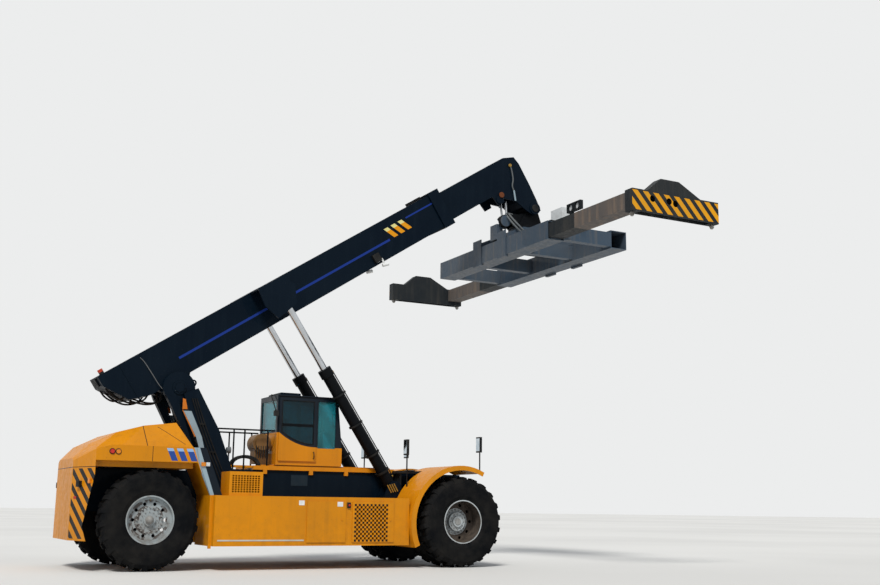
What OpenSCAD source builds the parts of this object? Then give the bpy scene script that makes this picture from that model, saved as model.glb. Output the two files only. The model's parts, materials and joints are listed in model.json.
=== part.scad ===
// Reach stacker: a wheeled container handler with a telescopic boom and a spreader.
// Lengths in millimetres. +X is forward, +Y is left, +Z is up.
// The drawing origin is on the floor under the front axle, and placed() moves it to the middle.

/* [Wheels] */
// Distance between the front axle and the steered rear axle
wheelbase = 7050; // [6500:50:7300]
// Tyre radius over the lugs
tyre_r = 1020; // [960:5:1040]
// Tyre width over the sidewalls
tyre_w = 570; // [500:5:590]
// Depth of the tread lugs
lug_depth = 50; // [30:1:60]
// Number of lugs in each row of a tyre
lug_count = 22; // [12:1:28]
// Radius of the rim where the bead sits
rim_r = 490; // [450:5:520]
// Half track of the outer front tyre
front_outer_y = 1820; // [1800:5:1860]
// Half track of the inner front tyre
front_inner_y = 1170; // [1150:5:1200]
// Half track of the rear tyres
rear_y = 1470; // [1450:5:1500]
// Half distance between the kingpins
kingpin_y = 1250; // [1230:5:1270]

/* [Boom] */
// Boom angle above the horizontal as it stands
boom_angle = 33.3; // [28:0.1:38]
// Distance of the boom pivot behind the front axle
pivot_back = 6320; // [6200:10:6400]
// Height of the boom pivot
pivot_z = 3850; // [3800:10:3950]
// Length of the outer boom ahead of its pivot
outer_front = 8350; // [8000:10:8600]
// Length of the outer boom behind its pivot
outer_back = 1370; // [1200:10:1450]
// Width of the outer boom
outer_w = 860; // [820:5:880]
// Height of the outer boom
outer_h = 910; // [880:5:940]
// Height of the outer boom's underside over the pivot line
outer_drop = 163; // [150:1:180]
// Width of the inner boom
inner_w = 740; // [700:5:760]
// Height of the inner boom
inner_h = 765; // [740:5:790]
// Distance from the boom pivot to the head along the boom
head_s = 10840; // [10700:10:11000]
// Depth of the head pin below the boom pivot line
head_drop = 620; // [580:5:680]
// Thickness of the boom plates
boom_wall = 20; // [12:1:30]

/* [Lift cylinders] */
// Distance of the cylinder foot behind the front axle
foot_back = 1260; // [1240:5:1300]
// Height of the cylinder foot
foot_z = 1775; // [1740:5:1800]
// Half distance between the lift cylinders
lift_y = 850; // [840:5:870]
// Distance of the rod eye from the boom pivot along the boom
eye_s = 3040; // [2950:10:3150]
// Height of the rod eye over the boom pivot line
eye_t = 590; // [540:5:640]
// Radius of the cylinder barrel
barrel_r = 135; // [115:1:150]
// Radius of the piston rod
rod_r = 82; // [60:1:95]
// Length of the barrel from its foot pin to its gland
barrel_len = 3220; // [3000:10:3300]

/* [Body] */
// Height of the chassis frame's top
frame_top = 2120; // [2080:5:2160]
// Height of the chassis frame's underside
frame_low = 1180; // [1120:5:1260]
// Half width of the frame between the wheels
frame_y = 600; // [560:5:620]
// Half width of the frame between the steered wheels
frame_rear_y = 430; // [400:5:440]
// Half width of the body over the side boxes
body_y = 1950; // [1900:5:2000]
// Height of the side boxes' underside
box_low = 500; // [450:5:560]
// Height of the side boxes' top
box_top = 1530; // [1480:5:1560]
// Distance of the tail behind the rear axle
tail = 1450; // [1400:5:1550]
// Half width of the counterweight
tail_y = 1760; // [1700:5:1800]

/* [Cab] */
// Length of the cab
cab_len = 1610; // [1560:5:1640]
// Distance of the cab's back behind the front axle
cab_back = 4050; // [4000:10:4080]
// Half width of the cab
cab_y = 590; // [560:5:600]
// Height of the cab's roof above its floor
cab_h = 1590; // [1550:5:1650]
// Height of the deck under the cab
deck_top = 2240; // [2220:5:2280]

/* [Spreader] */
// Length between the twistlocks as it stands
lock_pitch_y = 11985; // [11800:5:12192]
// Width between the twistlocks
lock_pitch_x = 2259; // [2200:1:2300]
// Height of the twistlock landing plane
landing_z = 7700; // [7650:5:7750]
// Height of the telescopic beams
beam_h = 360; // [320:5:380]
// Width of the telescopic beams
beam_w = 420; // [380:5:460]
// Length of the main frame
main_len = 5560; // [5300:10:5600]

/* [Hidden] */
// Clearances
// Radial play of a pin or a rod in its bore
run = 0.1;
// Gap round a door or a lid
gap = 8;
// Gap between two faces that meet
seat = 0.3;

// Places worked out from the sizes above
rear_x = -wheelbase;
pivot_x = -pivot_back;
foot_x = -foot_back;
tail_x = rear_x - tail;
cab_x0 = -cab_back;
cab_x1 = cab_x0 + cab_len;
head_x = pivot_x + head_s*cos(boom_angle) + head_drop*sin(boom_angle);
head_z = pivot_z + head_s*sin(boom_angle) - head_drop*cos(boom_angle);
eye_x = pivot_x + eye_s*cos(boom_angle) - eye_t*sin(boom_angle);
eye_z = pivot_z + eye_s*sin(boom_angle) + eye_t*cos(boom_angle);
lift_angle = atan2(eye_z - foot_z, foot_x - eye_x);
lift_len = sqrt(pow(eye_z - foot_z, 2) + pow(foot_x - eye_x, 2));
end_beam_x = lock_pitch_x/2 + 90;
end_beam_w = 260;
end_beam_h = 500;
front_x = head_x + end_beam_x;
mid_x = (tail_x + front_x)/2;
outer_top = outer_drop + outer_h;
inner_low = outer_drop + (outer_h - inner_h)/2 - 15;
inner_top = inner_low + inner_h;
paint = "#e59a18";
navy = "#10222f";
steel = "#9aa0a6";

// Everything is drawn from the front axle and moved to the middle of the machine
module placed() {
    translate([-mid_x, 0, 0]) children();
}

// Boom coordinates: x runs along the boom from its pivot, z stands square to it
module on_boom() {
    translate([pivot_x, 0, pivot_z]) rotate([0, -boom_angle, 0]) children();
}

// A flat outline in X and Z, as a plate from y0 to y0 + t
module plate_xz(points, y0, t) {
    translate([0, y0 + t, 0]) rotate([90, 0, 0]) linear_extrude(t) polygon(points);
}

// A flat outline in Y and Z, as a plate from x0 to x0 + t
module plate_yz(points, x0, t) {
    translate([x0, 0, 0]) rotate([90, 0, 90]) linear_extrude(t) polygon(points);
}

// A round bar along Y
module bar_y(r, y0, y1, x = 0, z = 0) {
    translate([x, y0, z]) rotate([-90, 0, 0]) cylinder(r = r, h = y1 - y0, $fn = 48);
}

// A round bar along X
module bar_x(r, x0, x1, y, z) {
    translate([x0, y, z]) rotate([0, 90, 0]) cylinder(r = r, h = x1 - x0, $fn = 48);
}

// A box given by its corners
module block(a, b) {
    translate(a) cube([b[0] - a[0], b[1] - a[1], b[2] - a[2]]);
}

// The same piece on both sides
module both_sides() {
    children();
    mirror([0, 1, 0]) children();
}

// Wheels
// Half width of a lug round the tyre, and how far it leans
lug_half = 50;
lug_lean = 12;
module tyre_at(y) {
    half = tyre_w/2;
    bead = half - 55;
    base = tyre_r - lug_depth;
    lug = [[base - 20, 5], [tyre_r, 5], [tyre_r, 110], [tyre_r - 25, half - 60], [base - 80, half - 14],
        [base - 20, 150]];
    rotate([90, 0, 0]) translate([0, 0, -y]) {
        rotate_extrude($fn = 72) difference() {
            polygon([[rim_r, -bead], [rim_r + 90, -half + 15], [rim_r + 260, -half], [base - 80, -half + 12],
                [base - 15, -half + 62], [base, -half + 90], [base, half - 90], [base - 15, half - 62],
                [base - 80, half - 12], [rim_r + 260, half], [rim_r + 90, half - 15], [rim_r, bead]]);
            polygon([[rim_r - 10, -bead + 50], [rim_r + 110, -half + 55], [base - 100, -half + 60],
                [base - 60, -half + 110], [base - 60, half - 110], [base - 100, half - 60],
                [rim_r + 110, half - 55], [rim_r - 10, bead - 50]]);
        }
        // Two rows of lugs, half a pitch apart. One lug stands at the bottom
        for (i = [0 : lug_count - 1], row = [0, 1])
            rotate([0, 0, 360*(i + row/2)/lug_count - 90]) mirror([0, 0, row]) rotate([lug_lean, 0, 0])
                plate_xz(lug, -lug_half, 2*lug_half);
    }
}

// The rim's barrel with its disc; a disc above zero lies nearer the middle of the machine
disc_t = 30;
module rim_at(y, disc, bore) {
    half = tyre_w/2 - 55;
    r = rim_r - seat;
    rotate([90, 0, 0]) translate([0, 0, -y]) rotate_extrude($fn = 72) polygon([[r - 26, -half], [r, -half],
        [r, half], [r - 26, half], [r - 26, disc + disc_t], [bore, disc + disc_t], [bore, disc],
            [r - 26, disc]]);
}

spindle_r = 150;
knuckle_r = 110;
// Holes in a wheel's disc, through y0 to y1
disc_holes = 10;
module disc_hole_ring(r, at_r, y0, y1) {
    for (i = [0 : disc_holes - 1]) rotate([0, 360*i/disc_holes, 0]) bar_y(r, y0, y1, at_r, 0);
}
module front_tyres(side) {
    color("#22252a") placed() translate([0, 0, tyre_r]) {
        tyre_at(side*front_outer_y);
        tyre_at(side*front_inner_y);
    }
}
// The two front rims on each side, with the hub that carries them
outer_disc = 150;
inner_disc = -130;
hub_in = front_inner_y - 120;
hub_out = front_outer_y - 60;
spindle_end = front_outer_y - 180;
module front_rims(side) {
    color(steel) placed() translate([0, 0, tyre_r]) mirror([0, side < 0 ? 1 : 0, 0]) difference() {
        union() {
            rim_at(front_outer_y, outer_disc, 0);
            rim_at(front_inner_y, inner_disc, 0);
            bar_y(300, hub_in, front_outer_y - outer_disc);
            bar_y(210, hub_in, hub_out);
            bar_y(120, hub_in, hub_out + 40);
        }
        bar_y(spindle_r + run, hub_in - 1, spindle_end + gap);
        disc_hole_ring(38, 385, front_outer_y - outer_disc - disc_t - 1, front_outer_y - outer_disc + 1);
    }
}
module rear_tyre(side) {
    color("#22252a") placed() translate([rear_x, 0, tyre_r]) tyre_at(side*rear_y);
}
module rear_rim(side) {
    disc = -120;
    color(steel) placed() translate([rear_x, 0, tyre_r]) mirror([0, side < 0 ? 1 : 0, 0]) difference() {
        union() {
            rim_at(rear_y, disc, 0);
            bar_y(200, rear_y - 40, rear_y - disc);
            bar_y(120, rear_y - 40, rear_y + 170);
        }
        bar_y(knuckle_r + run, rear_y - 41, rear_y + 90 + gap);
        disc_hole_ring(36, 330, rear_y - disc - disc_t - 1, rear_y - disc + 1);
    }
}
module front_tyres_right() { front_tyres(-1); }
module front_rims_right() { front_rims(-1); }
module front_tyres_left() { front_tyres(1); }
module front_rims_left() { front_rims(1); }
module rear_tyre_right() { rear_tyre(-1); }
module rear_rim_right() { rear_rim(-1); }
module rear_tyre_left() { rear_tyre(1); }
module rear_rim_left() { rear_rim(1); }

// Axles
axle_r = 230;
diff_x = 260;
diff_y = 300;
diff_z = 280;
module front_axle() {
    color(navy) placed() translate([0, 0, tyre_r]) {
        bar_y(axle_r, -front_inner_y + 290, front_inner_y - 290);
        block([-diff_x, -diff_y, -diff_z], [diff_x, diff_y, diff_z]);
        both_sides() bar_y(spindle_r, front_inner_y - 300, spindle_end);
    }
}

king_r = 75;
ear_r = 150;
module rear_axle() {
    color(navy) placed() translate([rear_x, 0, tyre_r]) difference() {
        union() {
            block([-190, -900, -150], [190, 900, 150]);
            both_sides() hull() {
                block([-150, 850, -280], [150, 900, 280]);
                block([-150, 780, -150], [150, 800, 150]);
            }
            for (z = [-280, 215]) both_sides() {
                translate([0, kingpin_y, z]) cylinder(r = ear_r, h = 65, $fn = 48);
                block([-ear_r, 850, z], [ear_r, kingpin_y, z + 65]);
            }
            block([-160, -260, 140], [160, 260, frame_low - tyre_r]);
            // Steering cylinder with its two brackets
            for (y = [-500, 500]) block([-330, y - 60, -90], [-180, y + 60, 90]);
            bar_y(85, -620, 620, -330, 0);
            bar_y(40, -760, 760, -330, 0);
        }
        both_sides() translate([0, kingpin_y, -300]) cylinder(r = king_r + run, h = 600, $fn = 48);
    }
}

module knuckle(side) {
    color("#2b3138") placed() translate([rear_x, 0, tyre_r]) mirror([0, side < 0 ? 1 : 0, 0]) {
        translate([0, kingpin_y, -207]) cylinder(r = 140, h = 414, $fn = 48);
        translate([0, kingpin_y, -290]) cylinder(r = king_r, h = 580, $fn = 48);
        bar_y(knuckle_r, kingpin_y, rear_y + 90);
        hull() {
            translate([-300, kingpin_y - 110, -205]) cylinder(r = 50, h = 45, $fn = 32);
            translate([-60, kingpin_y - 60, -205]) cylinder(r = 70, h = 45, $fn = 32);
        }
    }
}
module knuckle_right() { knuckle(-1); }
module knuckle_left() { knuckle(1); }

// Chassis frame: two deep side plates with cross members, narrow between the steered wheels
frame_front = 700;
waist_x = pivot_x + 700;
weight_t = 290;
hood_low = 2070;
module chassis_frame() {
    color(navy) placed() difference() {
        union() {
            both_sides() {
                block([waist_x, frame_y - 50, frame_low], [frame_front, frame_y, frame_top]);
                block([tail_x + weight_t, frame_rear_y - 50, frame_low],
                    [waist_x + 60, frame_rear_y, hood_low]);
                block([waist_x, frame_rear_y - 50, frame_low], [waist_x + 60, frame_y, hood_low]);
                // Brackets under the front fenders
                block([-80, frame_y - 50, frame_top - 1], [80, frame_y + 120, tyre_r + fender_r - 34]);
            }
            for (x = [tail_x + weight_t + 20, rear_x - 130, waist_x - 500])
                block([x, -frame_rear_y + 20, frame_low + 60], [x + 120, frame_rear_y - 20, frame_low + 260]);
            block([rear_x - 220, -frame_rear_y + 20, frame_low],
                [rear_x + 220, frame_rear_y - 20, frame_low + 60]);
            for (x = [waist_x + 300, -3600, -2000])
                block([x, -frame_y + 20, frame_low + 60], [x + 160, frame_y - 20, frame_low + 360]);
            block([-400, -frame_y + 20, frame_low], [400, frame_y - 20, frame_low + 120]);
            block([frame_front - 60, -frame_y + 20, frame_low], [frame_front, frame_y - 20, frame_top]);
            block([deck_x1, -frame_y + 20, frame_top - 60], [frame_front, frame_y - 20, frame_top]);
        }
        // Seat of the front axle
        translate([0, 0, tyre_r]) {
            bar_y(axle_r + seat, -frame_y - 1, frame_y + 1);
            block([-diff_x - seat, -diff_y - seat, -diff_z], [diff_x + seat, diff_y + seat, diff_z + seat]);
        }
    }
}

// Feet of the lift cylinders, beside the frame: a base plate, two cheeks and the pin
foot_pin_r = 70;
foot_gap = 145;
foot_t = 50;
module lift_feet() {
    out = foot_gap + foot_t;
    cheek = [[foot_x - 260, box_top + 60], [foot_x + 140, box_top + 60], [foot_x + 150, foot_z + 60],
        [foot_x + 60, foot_z + 150], [foot_x - 60, foot_z + 150], [foot_x - 160, foot_z + 60]];
    color(navy) placed() both_sides() {
        for (y = [lift_y - out, lift_y + foot_gap]) plate_xz(cheek, y, foot_t);
        block([foot_x - 260, frame_y + seat, box_top + seat], [foot_x + 140, lift_y + out, box_top + 65]);
        bar_y(foot_pin_r, lift_y - out - 15, lift_y + out + 15, foot_x, foot_z);
    }
}

// Towers that carry the boom pivot
tower_in = outer_w/2 + 40;
tower_out = tower_in + 230;
pin_r = 100;
module boom_towers() {
    head_r = 350;
    leg = [[pivot_x + 80, pivot_z - 140], [pivot_x + 840, box_top + seat], [pivot_x + 1460, box_top + seat],
        [pivot_x + 900, pivot_z - 890], [pivot_x + 390, pivot_z]];
    strut = [[pivot_x - 300, pivot_z - 170], [pivot_x + 290, pivot_z - 1260], [pivot_x + 720, box_top + 270],
        [pivot_x + 900, box_top + 270], [pivot_x + 330, pivot_z - 1200], [pivot_x - 30, pivot_z - 240]];
    color(navy) placed() difference() {
        union() {
            both_sides() {
                plate_xz(strut, tower_in, 150);
                plate_xz(leg, tower_in, tower_out - tower_in);
                bar_y(head_r, tower_in, tower_in + 110, pivot_x, pivot_z);
                hull() {
                    bar_y(70, tower_in + 10, tower_in + 60, pivot_x + 320, pivot_z + 130);
                    bar_y(150, tower_in + 10, tower_in + 60, pivot_x + 160, pivot_z - 20);
                }
            }
            bar_y(pin_r, -tower_in - 150, tower_in + 150, pivot_x, pivot_z);
            both_sides() bar_y(150, tower_in + 110, tower_in + 135, pivot_x, pivot_z);
            block([pivot_x + 850, -tower_in - 5, frame_top + 80],
                [pivot_x + 1100, tower_in + 5, frame_top + 200]);
        }
        both_sides() bar_y(34, tower_in, tower_in + 70, pivot_x + 330, pivot_z + 140);
        // The frame and the boxes pass inside the legs
        block([waist_x - 100, -frame_y - seat, box_top - 400], [-4000, frame_y + seat, frame_top + seat]);
        block([tail_x, -frame_rear_y - seat, box_top - 400],
            [waist_x - 99, frame_rear_y + seat, hood_low + seat]);
    }
}

// Counterweight at the tail, with its corners cut back towards the wheels
tail_flat_y = 900;
module counterweight() {
    side = [[tail_x, 600], [tail_x + 230, 600], [tail_x + 170, 880], [tail_x + weight_t, 1900],
        [tail_x + weight_t, hood_low], [tail_x, hood_low]];
    plan = [[tail_x - 1, -tail_flat_y], [tail_x + weight_t + 1, -tail_y], [tail_x + weight_t + 1, tail_y],
        [tail_x - 1, tail_flat_y]];
    color(paint) placed() intersection() {
        plate_xz(side, -tail_y, 2*tail_y);
        linear_extrude(hood_low) polygon(plan);
    }
}

// Engine hood: one row for each section, from the tail to the towers
// Columns: x from the rear axle, ridge height, half width of the ridge, edge height, half width of the edge
hood_sections = [
    [-1450, 2250, 760, 2190, 900],
    [-1161, 2540, 940, 2410, 1750],
    [-1160, 2540, 940, 2410, 1560],
    [-640, 2800, 1000, 2500, 1560],
    [-80, 2960, 1000, 2500, 1560],
    [600, 3050, 980, 2500, 1560],
    [850, 2580, 980, 2500, 1560]];
function hood_outline(r, t) = [[-r[4] + t, hood_low - t], [-r[4] + t, r[3] - t], [-r[2] + t, r[1] - t],
    [r[2] - t, r[1] - t], [r[4] - t, r[3] - t], [r[4] - t, hood_low - t]];
module hood_stretch(a, b, t) {
    hull() for (k = [a, b]) plate_yz(hood_outline(hood_sections[k], t), rear_x + hood_sections[k][0], 1);
}
module engine_hood() {
    color(paint) placed() difference() {
        for (i = [0, 2, 3, 4, 5]) hood_stretch(i, i + 1, 0);
        for (i = [2, 3, 4]) hood_stretch(i, i + 1, 30);
    }
}

// Rear fenders: the band over the steered wheel and the leg in front of it
module rear_fenders() {
    in_y = hood_sections[2][4] + seat;
    out_y = tail_y - 10;
    low = 2190;
    top = hood_sections[3][3];
    back = rear_x + hood_sections[2][0] + seat;
    front = rear_x + 900;
    leg_x = box_x0 - seat;
    color(paint) placed() both_sides() {
        difference() {
            plate_xz([[back, low], [back, top - 90], [back + 300, top], [front - 40, top],
                [front + 30, low]], in_y, out_y - in_y);
            plate_xz([[back + 20, low - 1], [back + 20, top - 115], [back + 305, top - 20],
                [front - 55, top - 20],
                [front + 9, low - 1]], in_y + 20, out_y - in_y - 40);
        }
        // The leg in front of the wheel, and its mudguard
        plate_xz([[front + 30, low], [leg_x - 65, box_top], [leg_x - 60, 450], [leg_x, 450],
            [leg_x, box_top + seat],
            [leg_x + 190, box_top + seat], [front + 160, top], [front - 40, top]], out_y - 1, 41);
        plate_xz([[front, low], [leg_x - 55, box_top], [leg_x - 45, box_low], [leg_x - 5, box_low],
            [leg_x - 5, box_top], [front + 40, low]], tower_out + 30, out_y - tower_out - 30);
    }
}

// Side boxes between the axles, with the openings of their doors
box_x0 = -5800;
box_x1 = -1330;
door_a = [-3780, -2880];
door_b = [-2720, -1720];
door_z = [box_low + 70, box_top - 90];
door_t = 22;
locker_depth = 380;
locker_x0 = door_a[0] - 50;
module box_solid() {
    block([box_x0, frame_y + seat, box_low], [box_x1, body_y, box_top]);
}
module side_box_right() {
    color(paint) placed() difference() {
        mirror([0, 1, 0]) box_solid();
        block([locker_x0, -body_y - 1, box_low - 1], [box_x1 + 1, -body_y + locker_depth, box_top + 1]);
    }
}
// Frame of the two lockers behind the doors
module locker_frame() {
    color(paint) placed() difference() {
        block([locker_x0 + seat, -body_y, box_low], [box_x1, -body_y + locker_depth - seat, box_top]);
        for (d = [door_a, door_b])
            block([d[0] + 40, -body_y - 1, door_z[0] + 40],
                [d[1] - 40, -body_y + locker_depth + 1, door_z[1] - 40]);
    }
}
module side_box_left() {
    color(paint) placed() box_solid();
}
module box_door(d) {
    block([d[0], -body_y - seat - door_t, door_z[0]], [d[1], -body_y - seat, door_z[1]]);
    bar_y(22, -body_y - seat - door_t - 14, -body_y - seat - door_t + 1, d[1] - 90, door_z[0] + 480);
}
module service_door() {
    color(paint) placed() box_door(door_a);
}
module mesh_door() {
    pitch = 95;
    hole = 50;
    color(paint) placed() difference() {
        box_door(door_b);
        for (i = [0 : 7], j = [0 : 7])
            translate([door_b[0] + 90 + i*pitch, -body_y - door_t - 1, door_z[0] + 60 + j*pitch])
                cube([hole, door_t + 2, hole]);
    }
}

// Front fenders over the twin wheels. The skin widens away from the tyre towards its lower end
fender_r = 1250;
fender_y = body_y + 120;
fender_from = 64;
fender_split = 116;
fender_to = 205;
fender_grow = 82;
function fender_arc(r, grow, from, to, steps) = [for (i = [0 : steps])
    let (a = from + (to - from)*i/steps, q = r + grow*(a - fender_from)/fender_split) [q*cos(a),
        tyre_r + q*sin(a)]];
function turned(list) = [for (i = [len(list) - 1 : -1 : 0]) list[i]];
module fender_skin(from, to, steps, y0) {
    plate_xz(concat(fender_arc(fender_r, fender_grow, from, to, steps),
        turned(fender_arc(fender_r - 30, fender_grow, from, to, steps))), y0, fender_y - y0);
}
module front_fenders() {
    color(paint) placed() both_sides() difference() {
        union() {
            fender_skin(fender_from, fender_split, 8, frame_y + seat);
            fender_skin(fender_split, fender_to, 14, lift_y + foot_gap + foot_t + 15);
            plate_xz(concat(fender_arc(fender_r, fender_grow, fender_from, fender_to, 22),
                turned(fender_arc(fender_r - 100, 60, fender_from, fender_to, 22))), fender_y - 20, 20);
            // Posts of the mirrors
            for (p = mirror_posts) translate([p[0], p[1], p[2] - 60]) cylinder(r = 16, h = p[3] - p[2] + 60,
                $fn = 16);
        }
        block([box_x1 - 400, 0, 0], [box_x1 + seat, 2*body_y, 3*tyre_r]);
    }
}
// Columns: x, y, height of the fender there, height of the mirror's foot
mirror_posts = [[-1050, 1220, tyre_r + 740, 2530], [500, 1930, tyre_r + 1140, 2610]];

// Deck for the cab, with its brackets
deck_x0 = -4580;
deck_x1 = -1120;
deck_y = frame_y + 50;
rail_y = cab_y - 150;
chain_x0 = -5080;
chain_x1 = -4380;
module deck() {
    color(paint) placed() {
        block([deck_x0, -deck_y, frame_top], [deck_x1, deck_y, deck_top - 30]);
        block([chain_x0 - 20, -frame_y + 55, frame_top + 40], [deck_x0 + 1, -frame_y + 205, deck_top - 30]);
        both_sides() for (x = [-4350, -3250, -2380, -1300]) block([x, frame_y, frame_top - 90],
            [x + 90, deck_y, frame_top + 1]);
        // Rails that the cab slides on
        both_sides() block([chain_x1 + 20, rail_y - 40, deck_top - 31], [deck_x1 - 20, rail_y + 40, deck_top]);
    }
}

module handrails() {
    bar_r = 18;
    y = frame_y - 25;
    top = frame_top + 880;
    rail = [-5400, cab_x0 - 40];
    // Columns: x, height that the post stands on
    posts = [[-5040, frame_top + seat], [-4790, frame_top + seat], [-4250, deck_top - 30 + seat]];
    color("#1b2127") placed() both_sides() {
        for (p = posts) translate([p[0], y, p[1]]) cylinder(r = bar_r, h = top - p[1], $fn = 16);
        translate([rail[0], y, top]) rotate([0, 90, 0]) cylinder(r = bar_r, h = rail[1] - rail[0], $fn = 16);
    }
}

module engine_block() {
    color("#6b6f72") placed() block([rear_x - 700, -360, frame_low + 260], [rear_x + 400, 360, 2450]);
}

module mirrors() {
    color("#15191d") placed() both_sides() for (p = mirror_posts)
        block([p[0] - 50, p[1] - 90, p[3] + seat], [p[0] + 10, p[1] + 90, p[3] + 360]);
}

module body_lamps() {
    out_y = tail_y - 10 + seat;
    color("#d84a20") placed() both_sides() {
        for (x = [-850, -730]) bar_y(45, out_y, out_y + 25, rear_x + x, 2370);
        block([rear_x + 960, out_y + 40, 2120], [rear_x + 1050, out_y + 70, 2200]);
    }
}

// Cable chain arched over the deck behind the cab
module cable_chain() {
    steps = 16;
    rise = 230;
    link_h = 70;
    mid = (chain_x0 + chain_x1)/2;
    half = (chain_x1 - chain_x0)/2;
    base = deck_top - 30 + seat;
    over = [for (i = [0 : steps]) let (a = 180*i/steps) [mid + half*cos(a), base + rise*sin(a)]];
    under = [for (i = [steps : -1 : 0]) let (a = 180*i/steps) [mid + (half - link_h)*cos(a),
        base + (rise - link_h)*sin(a)]];
    color("#121518") placed() {
        plate_xz(concat(over, under), -frame_y + 70, 120);
        // One link plate to each step, on both sides of the band
        for (i = [0 : steps - 1], y = [-frame_y + 58, -frame_y + 189])
            plate_xz([over[i], over[i]*0.25 + over[i + 1]*0.75,
                under[steps - i - 1]*0.75 + under[steps - i]*0.25,
                under[steps - i]], y, 13);
    }
}

// Perforated step box beside the tower
module step_box() {
    x0 = -5500;
    x1 = -4770;
    y0 = body_y - 650;
    y1 = body_y - 60;
    high = 500;
    wall = 30;
    slot = [44, 30];
    pitch = [62, 46];
    color(paint) placed() both_sides() difference() {
        block([x0, y0, box_top + seat], [x1, y1, box_top + high]);
        block([x0 + wall, y0 + wall, box_top - 20], [x1 - wall, y1 - wall, box_top + high - wall]);
        for (i = [0 : 9], k = [0 : 7])
            translate([x0 + 60 + i*pitch[0], y1 - wall - 1, box_top + 70 + k*pitch[1]]) cube([slot[0],
                wall + 2, slot[1]]);
    }
}

// Cab
glass_t = 10;
module cab_profile() {
    polygon([[0, 0], [cab_len, 0], [cab_len, 380], [cab_len - 130, cab_h], [0, cab_h]]);
}
belt_z = 400;
belt_rear_z = 730;
door_x = [50, 940];
cab_door_t = 35;
// The belt line falls in a curve from the door's rear edge to its front edge
function belt(x) = belt_z + 20 + (belt_rear_z - belt_z - 20)*pow(1 - min(1,
    max(0, (x - door_x[0])/(door_x[1] - door_x[0]))), 2.2);
function door_window(inset) = let (a = door_x[0] + 60 + inset, b = door_x[1] - 60 - inset,
    top = cab_h - 125 - inset)
    concat([[b, top], [a, top]], [for (i = [0 : 8]) let (x = a + (b - a)*i/8) [x, belt(x) + 60 + inset]]);
module cab_shell() {
    wall = 50;
    color(paint) placed() translate([cab_x0, 0, deck_top + seat]) difference() {
        translate([0, cab_y, 0]) rotate([90, 0, 0]) linear_extrude(2*cab_y) cab_profile();
        translate([0, cab_y - wall, 0]) rotate([90, 0, 0]) linear_extrude(2*cab_y - 2*wall)
            polygon([[wall, 100], [cab_len - wall, 100], [cab_len - wall, 380],
                [cab_len - 130 - wall, cab_h - wall], [wall, cab_h - wall]]);
        // Rear window, windscreen and roof window
        block([-1, -cab_y + 90, 760], [wall + 1, cab_y - 90, cab_h - 120]);
        translate([cab_len, 0, 380]) rotate([0, -6, 0]) block([-120, -cab_y + 80, 30],
            [60, cab_y - 80, cab_h - 480]);
        block([500, -cab_y + 160, cab_h - wall - 1], [cab_len - 260, cab_y - 160, cab_h + 1]);
        // Side windows
        for (s = [-1, 1]) block([door_x[1] + 60, s < 0 ? -cab_y - 1 : cab_y - wall - 1, belt_z],
            [cab_len - 170, s < 0 ? -cab_y + wall + 1 : cab_y + 1, cab_h - 110]);
        block([110, cab_y - wall - 1, 700], [door_x[1] - 40, cab_y + 1, cab_h - 110]);
        // Doorway
        block([door_x[0], -cab_y - 1, 110], [door_x[1], -cab_y + wall + 1, cab_h - 80]);
    }
}
module cab_glass() {
    color("#3d8f92", 0.4) placed() translate([cab_x0, 0, deck_top + seat]) {
        block([20, -cab_y + 90.3, 760.3], [20 + glass_t, cab_y - 90.3, cab_h - 120.3]);
        block([500.3, -cab_y + 160.3, cab_h - 30], [cab_len - 260.3, cab_y - 160.3, cab_h - 20]);
        for (s = [-1, 1]) block([door_x[1] + 60.3, s < 0 ? -cab_y + 20 : cab_y - 20 - glass_t, belt_z + 0.3],
            [cab_len - 170.3, s < 0 ? -cab_y + 20 + glass_t : cab_y - 20, cab_h - 110.3]);
        block([110.3, cab_y - 20 - glass_t, 700.3], [door_x[1] - 40.3, cab_y - 20, cab_h - 110.3]);
        translate([cab_len, 0, 380]) rotate([0, -6, 0]) block([-30, -cab_y + 80.3, 30.3],
            [-20, cab_y - 80.3, cab_h - 480.3]);
    }
}
module cab_interior() {
    color("#2a2d31") placed() translate([cab_x0, 0, deck_top + seat]) {
        block([300, -220, 100.3], [760, 220, 420]);
        block([330, -240, 420], [800, 240, 520]);
        block([240, -230, 420], [350, 230, 1080]);
        translate([1180, 0, 100.3]) cylinder(r = 45, h = 650, $fn = 24);
        translate([1180, 0, 750]) rotate([0, -25, 0]) rotate_extrude($fn = 48) translate([190,
            0]) circle(r = 16, $fn = 16);
        translate([1180, 0, 750]) rotate([0, -25, 0]) block([-190, -14, -8], [190, 14, 8]);
    }
}
// Round housing with its base, carried behind the cab
module cab_unit() {
    r = 215;
    x = -260;
    z = 480;
    y0 = -380;
    y1 = 60;
    color(paint) placed() translate([cab_x0, 0, deck_top + seat]) {
        bar_y(r, y0, y1, x, z);
        bar_y(r - 60, y0 - 40, y0 + 1, x, z);
        block([x - 150, y0 + 60, 20], [x + 150, y1 - 60, z]);
        block([x, y0 + 60, 20], [-seat, y1 - 60, 260]);
    }
}
module cab_door() {
    y0 = -cab_y - seat - cab_door_t;
    color("#1c252b") placed() translate([cab_x0, 0, deck_top + seat]) difference() {
        block([door_x[0] - 10, y0, 95], [door_x[1] + 10, y0 + cab_door_t, cab_h - 65]);
        plate_xz(door_window(0), y0 - 1, cab_door_t + 2);
    }
}
module cab_door_glass() {
    y0 = -cab_y - seat - cab_door_t + 12;
    color("#3d8f92", 0.4) placed() translate([cab_x0, 0, deck_top + seat])
        plate_xz(door_window(seat), y0, glass_t);
}

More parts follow.
